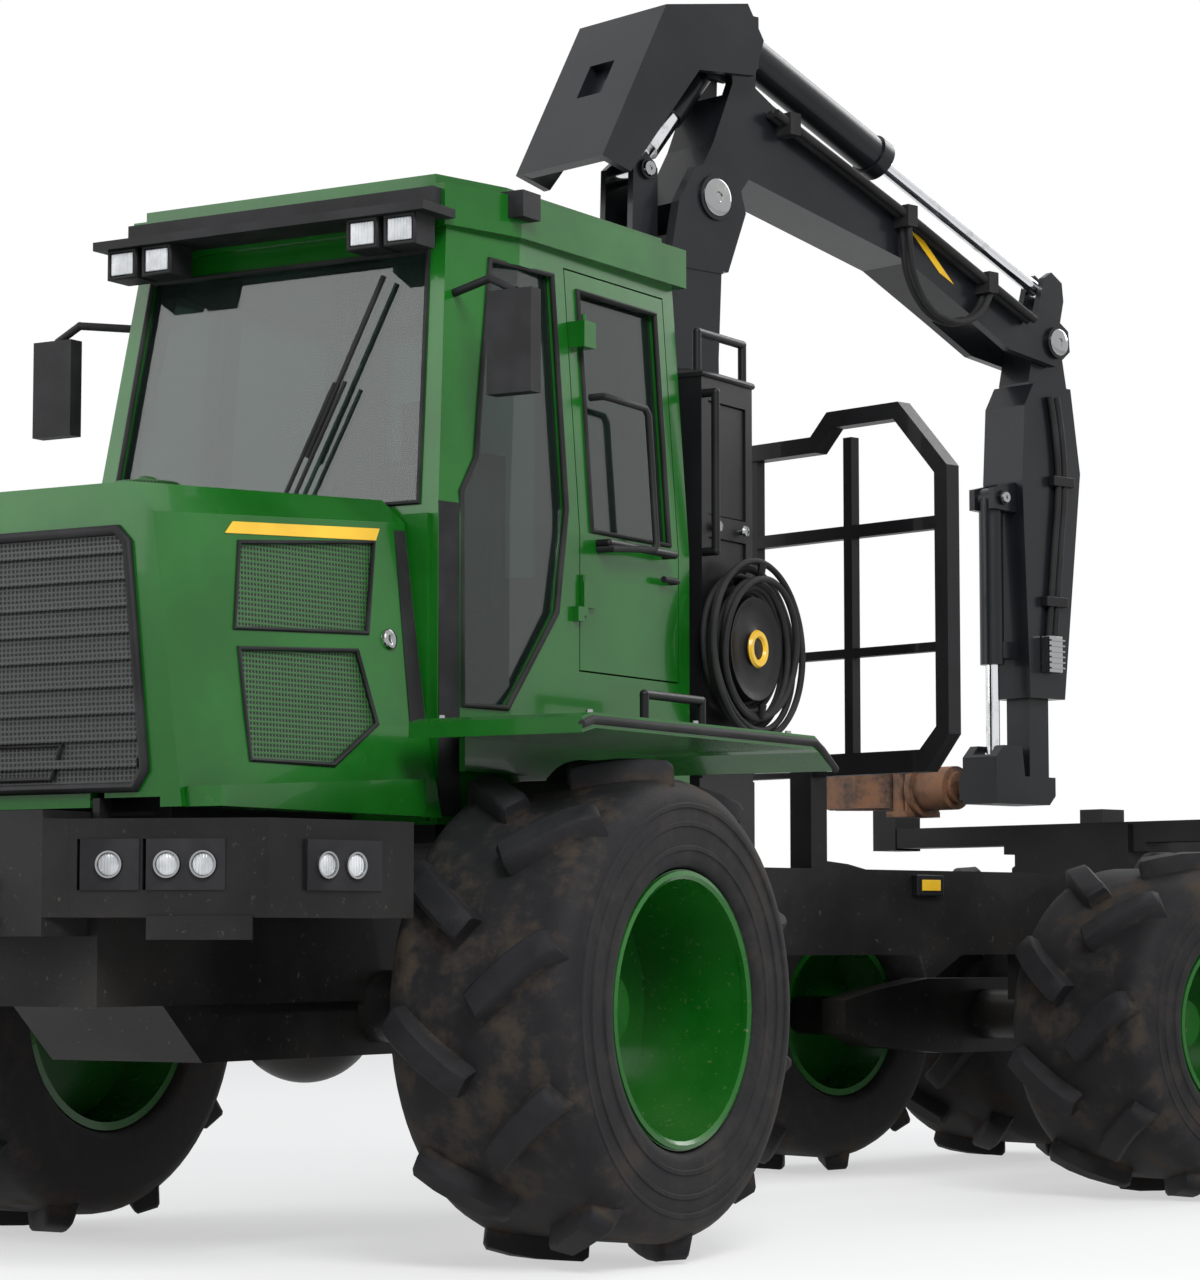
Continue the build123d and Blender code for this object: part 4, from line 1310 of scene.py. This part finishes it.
@dataclass
class CraneTrim:
    """Pin caps, stripe, lamp and bolts of the crane.

    A cap has its name, its place on the left side, its radius and its body. The cap's profile is in
    shares of its radius.
    """

    forge: Forge
    caps: tuple[tuple[str, Point, float, str], ...] = (
        ("lift", (206, 2310, 3940), 0.074, "pillar"), ("strut", (110, 2030, 4030), 0.032, "pillar"),
        ("elbow", (150, 4460, 3620), 0.058, "boom"), ("head", (146, 2540, 4680), 0.034, "boom"),
        ("telescope", (84, 4170, 2920), 0.026, "jib"))
    cap: Pairs = ((0, 0.004), (0.25, 0.004), (0.3, 0.009), (0.86, 0.009), (1, 0.004), (1, -0.004))
    stripe: Pairs = ((3470, 4030), (3560, 3992), (3790, 3792), (3700, 3830))
    cap_steps: int = 36
    stripe_x: float = 132
    stripe_thick: float = 0.003
    slew: Point = (0, 2150, 1360)
    slew_ring: float = 278
    slew_bolts: int = 20
    slew_open: float = -0.8
    slew_bolt: Pair = (0.013, 0.022)
    lamp_foot: Point = (112, 4360, 2170)
    lamp_tall: float = 160
    lamp_wide: float = 0.09
    lamp_deep: float = 0.05
    lamp_bevel: float = 0.006
    lamp_ribs: tuple[float, ...] = (0.1, 0.25, 0.4, 0.55, 0.7, 0.85)
    rib_tall: float = 0.04
    rib_deep: float = 0.012

    def build(self) -> None:
        """Makes the crane's pieces."""
        make = self.forge.piece
        for name, (x, y, z), radius, body in self.caps:
            made = [Forge.turned(self.cap, aft(side.value * x, y, z), aft_side(side), self.cap_steps, radius)
                    for side in Side]
            make("pin_caps_" + name, made, "steel", body)
        stripes = []
        for side in Side:
            corners = [aft(side.value * self.stripe_x, y, z) for y, z in self.stripe]
            stripes.append(Forge.plate(corners, aft_side(side) * self.stripe_thick))
        make("boom_stripe", stripes, "yellow", "boom", flat=True)
        self.lamp()
        turns = [FULL_TURN * n / self.slew_bolts for n in range(self.slew_bolts)]
        x, y, z = self.slew
        spots = [aft(x + self.slew_ring * math.cos(a), y + self.slew_ring * math.sin(a), z)
                 for a in turns if math.sin(a) > self.slew_open]
        make("slew_ring_bolts", Forge.heads(spots, UP, *self.slew_bolt), "steel", "rear", flat=True)

    def lamp(self) -> None:
        """Ribbed work lamp on the jib."""
        x, y, z = self.lamp_foot
        low = aft(x, y, z)
        up = aft(x, y, z + self.lamp_tall) - low
        run = PARK.aim(Half.REAR, 0, 1, 0) * self.lamp_wide
        out = aft_side(Side.LEFT)

        def pane(foot: float, head: float) -> list[Vector]:
            """Corners across the lamp between two shares of its height."""
            return [low + up * foot, low + run + up * foot, low + run + up * head, low + up * head]

        parts = [Forge.plate(pane(0, 1), out * self.lamp_deep, self.lamp_bevel)]
        for share in self.lamp_ribs:
            corners = [p + out * self.lamp_deep for p in pane(share, share + self.rib_tall)]
            parts.append(Forge.plate(corners, out * self.rib_deep))
        self.forge.piece("jib_lamp", parts, "steel", "jib", flat=True)


@dataclass
class Plumbing:
    """Hoses that one body holds all the way, with their clamps.

    A set has its name, its body, its hoses' radius, the route of one hose and each hose's shift
    from that route in x and y.
    """

    forge: Forge
    sets: tuple[tuple[str, str, float, tuple[Point, ...], Pairs], ...] = (
        ("pillar_hoses", "pillar", 0.016,
         ((0, 1931, 1640), (0, 1938, 2500), (0, 1950, 3250), (0, 1974, 3560)),
         ((-70, 0), (-25, 0), (20, 0), (65, 0))),
        ("boom_top_hoses", "boom", 0.014,
         ((0, 2730, 4389), (0, 3120, 4236), (0, 3520, 4077), (0, 3860, 3920)),
         ((-45, 0), (0, 0), (45, 0))),
        ("jib_hoses", "jib", 0.015,
         ((128, 4420, 3380), (129, 4490, 3100), (128, 4430, 2650), (128, 4380, 2200)),
         ((0, 0), (0, 42))))
    jib_clamps: Pairs = ((4470.0, 3010.0), (4415.0, 2480.0))
    jib_clamp: tuple[float, ...] = (-50, -22, 92, 22)
    jib_x: float = 112
    jib_thick: float = 0.036
    boom_clamps: Pairs = ((2850, 4330), (3330, 4138), (3760, 3952))
    boom_clamp: tuple[float, ...] = (-66, -18, 66, 18)
    boom_slope: float = 0.4
    boom_thick: float = 0.034
    bevel: float = 0.004

    def build(self) -> None:
        """Makes the hoses and clamps."""
        for name, body, radius, route, shifts in self.sets:
            hoses = [Forge.strand([aft(x + dx, y + dy, z) for x, y, z in route], radius, False, True)
                     for dx, dy in shifts]
            self.forge.piece(name, hoses, "rubber", body)
        push = aft_side(Side.LEFT) * self.jib_thick
        clamps = []
        for y, z in self.jib_clamps:
            corners = [aft(self.jib_x, y + a, z + b) for a, b in oblong(*self.jib_clamp)]
            clamps.append(Forge.plate(corners, push, self.bevel))
        self.forge.piece("jib_hose_clamps", clamps, "black", "jib", flat=True)
        straps = []
        for y, z in self.boom_clamps:
            corners = [aft(x, y + a, z - self.boom_slope * a) for x, a in oblong(*self.boom_clamp)]
            straps.append(Forge.plate(corners, UP * self.boom_thick, self.bevel))
        self.forge.piece("boom_top_clamps", straps, "black", "boom", flat=True)


@dataclass
class TankTrim:
    """Lid lip, latches and filler cap of the tank behind the cab."""

    forge: Forge
    plan: tuple[float, ...] = (80.0, 1310.0, 800.0, 1690.0)
    lip_z: float = 3074.0
    lip_radius: float = 0.013
    latches: Pairs = ((1400, 2520), (1600, 2520), (1400, 1655), (1600, 1655))
    latch: Pairs = ((0, 0.030), (0.018, 0.028), (0.022, 0.020), (0.012, 0.012), (0.012, -0.002))
    filler: Point = (600, 1500, 3120)
    cap: Pairs = ((0, 0.012), (0.03, 0.012), (0.05, 0.004), (0.068, 0.004), (0.072, -0.006),
                  (0.072, -0.03), (0.06, -0.03))
    cap_steps: int = 32

    def build(self) -> None:
        """Makes the tank's pieces."""
        make = self.forge.piece
        rim = [fore(x, y, self.lip_z) for x, y in oblong(*self.plan)]
        make("tank_lip", Forge.strand(rim, self.lip_radius, True), "black", "front")
        side_x = self.plan[2]
        knobs = [Forge.turned(self.latch, fore(side_x, y, z), LEFTWARD) for y, z in self.latches]
        make("tank_latches", knobs, "steel", "front")
        cap = Forge.turned(self.cap, fore(*self.filler), UP, self.cap_steps)
        make("filler_cap", cap, "plastic", "front")


@dataclass
class FrameTrim:
    """Reflectors on the rear frame, and bolts and edging on the fenders.

    A layer of the reflectors has its name, finish, x, half length, half height, thickness and bevel.
    """

    forge: Forge
    amber: Pairs = ((3350, 1240), (5950, 1240))
    layers: tuple[tuple[str, str, float, float, float, float, float], ...] = (
        ("reflector_boxes", "slate", 340, 80, 42, 0.03, 0.004),
        ("reflectors", "yellow", 370, 55, 22, 0.006, 0.002))
    bolt_spots: Pairs = ((830, -420), (830, -60), (1380, -420), (1380, 880), (830, 880), (1380, 240))
    bolt_z: float = 1716
    bolt: Pair = (0.011, 0.014)
    edging_x: float = 1440
    edging: Pairs = ((-560, 1675), (-500, 1692), (960, 1692), (1010, 1670), (1115, 1605))
    edging_radius: float = 0.014

    def build(self) -> None:
        """Makes the frames' pieces."""
        make = self.forge.piece
        for name, finish, x, long, tall, thick, bevel in self.layers:
            plates = []
            for side in Side:
                for y, z in self.amber:
                    outline = oblong(y - long, z - tall, y + long, z + tall)
                    corners = [aft(side.value * x, a, b) for a, b in outline]
                    plates.append(Forge.plate(corners, aft_side(side) * thick, bevel))
            make(name, plates, finish, "rear", flat=True)
        spots = [fore(side.value * x, y, self.bolt_z) for side in Side for x, y in self.bolt_spots]
        make("fender_bolts", Forge.heads(spots, UP, *self.bolt), "steel", "front", flat=True)
        edges = [Forge.strand([fore(side.value * self.edging_x, y, z) for y, z in self.edging],
                              self.edging_radius) for side in Side]
        make("fender_edging", edges, "rubber", "front")


@dataclass
class Studio:
    """Pale floor, soft light and the camera."""

    spot: Point = (6.465, -12.001, 1.019)
    yaw_deg: float = 31.25
    pitch_deg: float = 4.92
    focal_px: float = 3486.5
    frame_height_px: float = 1280.0
    sensor_mm: float = 36.0
    view_end: float = 200.0
    lights: tuple[tuple[str, Point, float, float], ...] = (
        ("key", (9.0, -10.0, 11.0), 6.0, 1900.0), ("fill", (-9.0, -9.0, 7.0), 8.0, 600.0),
        ("back", (3.0, 12.0, 10.0), 8.0, 800.0))
    lit_point: Point = (0, 0, 1.6)
    sky: float = 0.5
    sky_colour: Colour = (0.93, 0.96, 1.0)
    floor_grey: float = 0.82
    floor_size: float = 60.0
    floor_drop: float = 0.001
    floor_white: float = 0.55

    def build(self) -> None:
        """Sets up the scene around the machine."""
        scene = bpy.context.scene
        scene.view_settings.view_transform = "Standard"
        self.camera(scene)
        self.world(scene)
        self.floor(scene)
        for name, spot, size, power in self.lights:
            data = bpy.data.lights.new(name, "AREA")
            data.size, data.energy = size, power
            lamp = bpy.data.objects.new(name, data)
            lamp.location = spot
            way = Vector(self.lit_point) - Vector(spot)
            lamp.rotation_euler = way.to_track_quat("-Z", "Y").to_euler()
            scene.collection.objects.link(lamp)

    def camera(self, scene: bpy.types.Scene) -> None:
        """Makes the camera at the photograph's viewing angle.

        Args:
            scene: The scene it goes in.
        """
        data = bpy.data.cameras.new("camera")
        data.sensor_fit = "VERTICAL"
        data.sensor_height = self.sensor_mm
        data.sensor_width = self.sensor_mm
        data.lens = self.focal_px / self.frame_height_px * self.sensor_mm
        data.clip_end = self.view_end
        item = bpy.data.objects.new("camera", data)
        yaw, pitch = math.radians(self.yaw_deg), math.radians(self.pitch_deg)
        look = Vector((-math.sin(yaw) * math.cos(pitch), math.cos(yaw) * math.cos(pitch), math.sin(pitch)))
        item.location = self.spot
        item.rotation_euler = look.to_track_quat("-Z", "Y").to_euler()
        scene.collection.objects.link(item)
        scene.camera = item

    def world(self, scene: bpy.types.Scene) -> None:
        """Even sky light that is white where it is seen.

        Args:
            scene: The scene it goes in.
        """
        s = Shader("sky", world=True)
        lit = s.node("ShaderNodeBackground", {}, {"Color": (*self.sky_colour, 1), "Strength": self.sky})
        shown = s.node("ShaderNodeBackground", {}, {"Color": (1, 1, 1, 1)})
        scene.world = s.close(s.node("ShaderNodeMixShader", {}, {0: s.seen(), 1: lit, 2: shown}))

    def floor(self, scene: bpy.types.Scene) -> None:
        """Pale floor that keeps the machine's shadow.

        Args:
            scene: The scene it goes in.
        """
        bm = bmesh.new()
        bmesh.ops.create_grid(bm, x_segments=1, y_segments=1, size=self.floor_size)
        mesh = bpy.data.meshes.new("floor")
        bm.to_mesh(mesh)
        bm.free()
        item = bpy.data.objects.new("floor", mesh)
        item.location = (0, 0, -self.floor_drop)
        s = Shader("pale_floor")
        pale = s.node("ShaderNodeBsdfDiffuse", {}, {"Color": (*[self.floor_grey] * 3, 1)})
        white = s.node("ShaderNodeEmission", {}, {"Color": (1, 1, 1, 1), "Strength": 1.0})
        mix = s.node("ShaderNodeMixShader", {}, {0: s.seen() * self.floor_white, 1: pale, 2: white})
        mesh.materials.append(s.close(mix))
        scene.collection.objects.link(item)


def finishes() -> dict[str, bpy.types.Material]:
    """Makes every finish.

    Returns:
        Materials by finish name.
    """
    kinds: dict[str, object] = {
        "green": Paint("green_paint", (0.004, 0.098, 0.006), 0.22, 0.08, coat=0.22, shine=0.25),
        "black": Paint("black_paint", (0.007, 0.007, 0.008), 0.40, 0.10, coat=0.05, shine=0.16),
        "slate": Paint("slate_paint", (0.007, 0.008, 0.010), 0.30, 0.06, coat=0.10, shine=0.22),
        "yellow": Paint("yellow_paint", (0.78, 0.46, 0.015), 0.36, 0.08),
        "plastic": Moulding("black_plastic", (0.009, 0.009, 0.010)),
        "rubber": Moulding("hose_rubber", (0.012, 0.012, 0.012), 0.7, 180.0),
        "screen": Screen("wire_screen"),
        "vent": Screen("vent_screen", wire=(0.012, 0.085, 0.012)),
        "chrome": Chrome("chrome_rod"),
        "steel": Chrome("zinc_steel", (0.34, 0.345, 0.35)),
        "rust": Rust("rust_iron"),
        "glass": Glass("tinted_glass"),
        "lens": Lens("lamp_lens"),
        "weave": Weave("seat_cloth"),
    }
    for wheel in WHEELS:
        kinds[wheel.rubber] = Tread(wheel.rubber, wheel.hub, wheel.axle, wheel.floor)
    return {name: kind.make() for name, kind in kinds.items()}


def dress(nodes: dict[str, bpy.types.Object], made: dict[str, bpy.types.Material]) -> None:
    """Gives each CAD node its finish.

    Args:
        nodes: CAD objects by name.
        made: Materials by finish name.
    """
    groups = {
        "green": ("hood_shell", "cab_shell", "cab_roof", "cab_door", "fenders"),
        "black": ("front_frame", "front_axle", "front_bumper", "rear_frame", "rear_bogies", "load_bunks",
                  "load_gate", "slew_base", "oil_tank", "engine_block", "grab_rails", "door_rail"),
        "plastic": ("cab_mirrors", "cab_interior", "roof_lamps", "front_lamps"),
        "screen": ("hood_grille",),
        "vent": ("hood_vents",),
        "slate": ("crane_pillar", "boom_beam", "boom_head", "lift_barrel", "jib_barrel", "jib_arm",
                  "telescope_barrel", "jib_extension", "steer_barrel_left", "steer_barrel_right"),
        "chrome": ("lift_rod", "jib_rod", "telescope_rod", "steer_rod_left", "steer_rod_right"),
        "rust": ("grapple_link", "grapple_rotator", "claw_rear", "claw_front"),
        "glass": ("cab_glass", "door_glass"),
        "rubber": ("boom_hoses", "hose_coil", "boom_loop_inner", "boom_loop_outer"),
    }
    wanted = {node: finish for finish, names in groups.items() for node in names}
    for wheel in WHEELS:
        wanted[wheel.node("tyre")] = wheel.rubber
        wanted[wheel.node("rim")] = "green"
    for node, item in nodes.items():
        item.data.materials.clear()
        item.data.materials.append(made[wanted[node]])
        LOG.info("%s is finished in %s", node, wanted[node])


def main() -> None:
    """Dresses the machine and sets up its studio."""
    logging.basicConfig(level=logging.INFO, format="%(message)s")
    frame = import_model()
    Studio().build()
    made = finishes()
    dress(frame["nodes"], made)
    forge = Forge(made)
    HoodTrim(forge).build()
    CabTrim(forge).build()
    for wheel in WHEELS:
        TyreForm(forge, wheel).build()
        WheelTrim(forge, wheel).build()
    BumperTrim(forge).build()
    HoseReel(forge).build()
    for label, x in SLACK_HOSES:
        SlackHose(forge, label, x).build()
    for trim in (CraneTrim, Plumbing, TankTrim, FrameTrim):
        trim(forge).build()


if __name__ == "__main__":
    main()
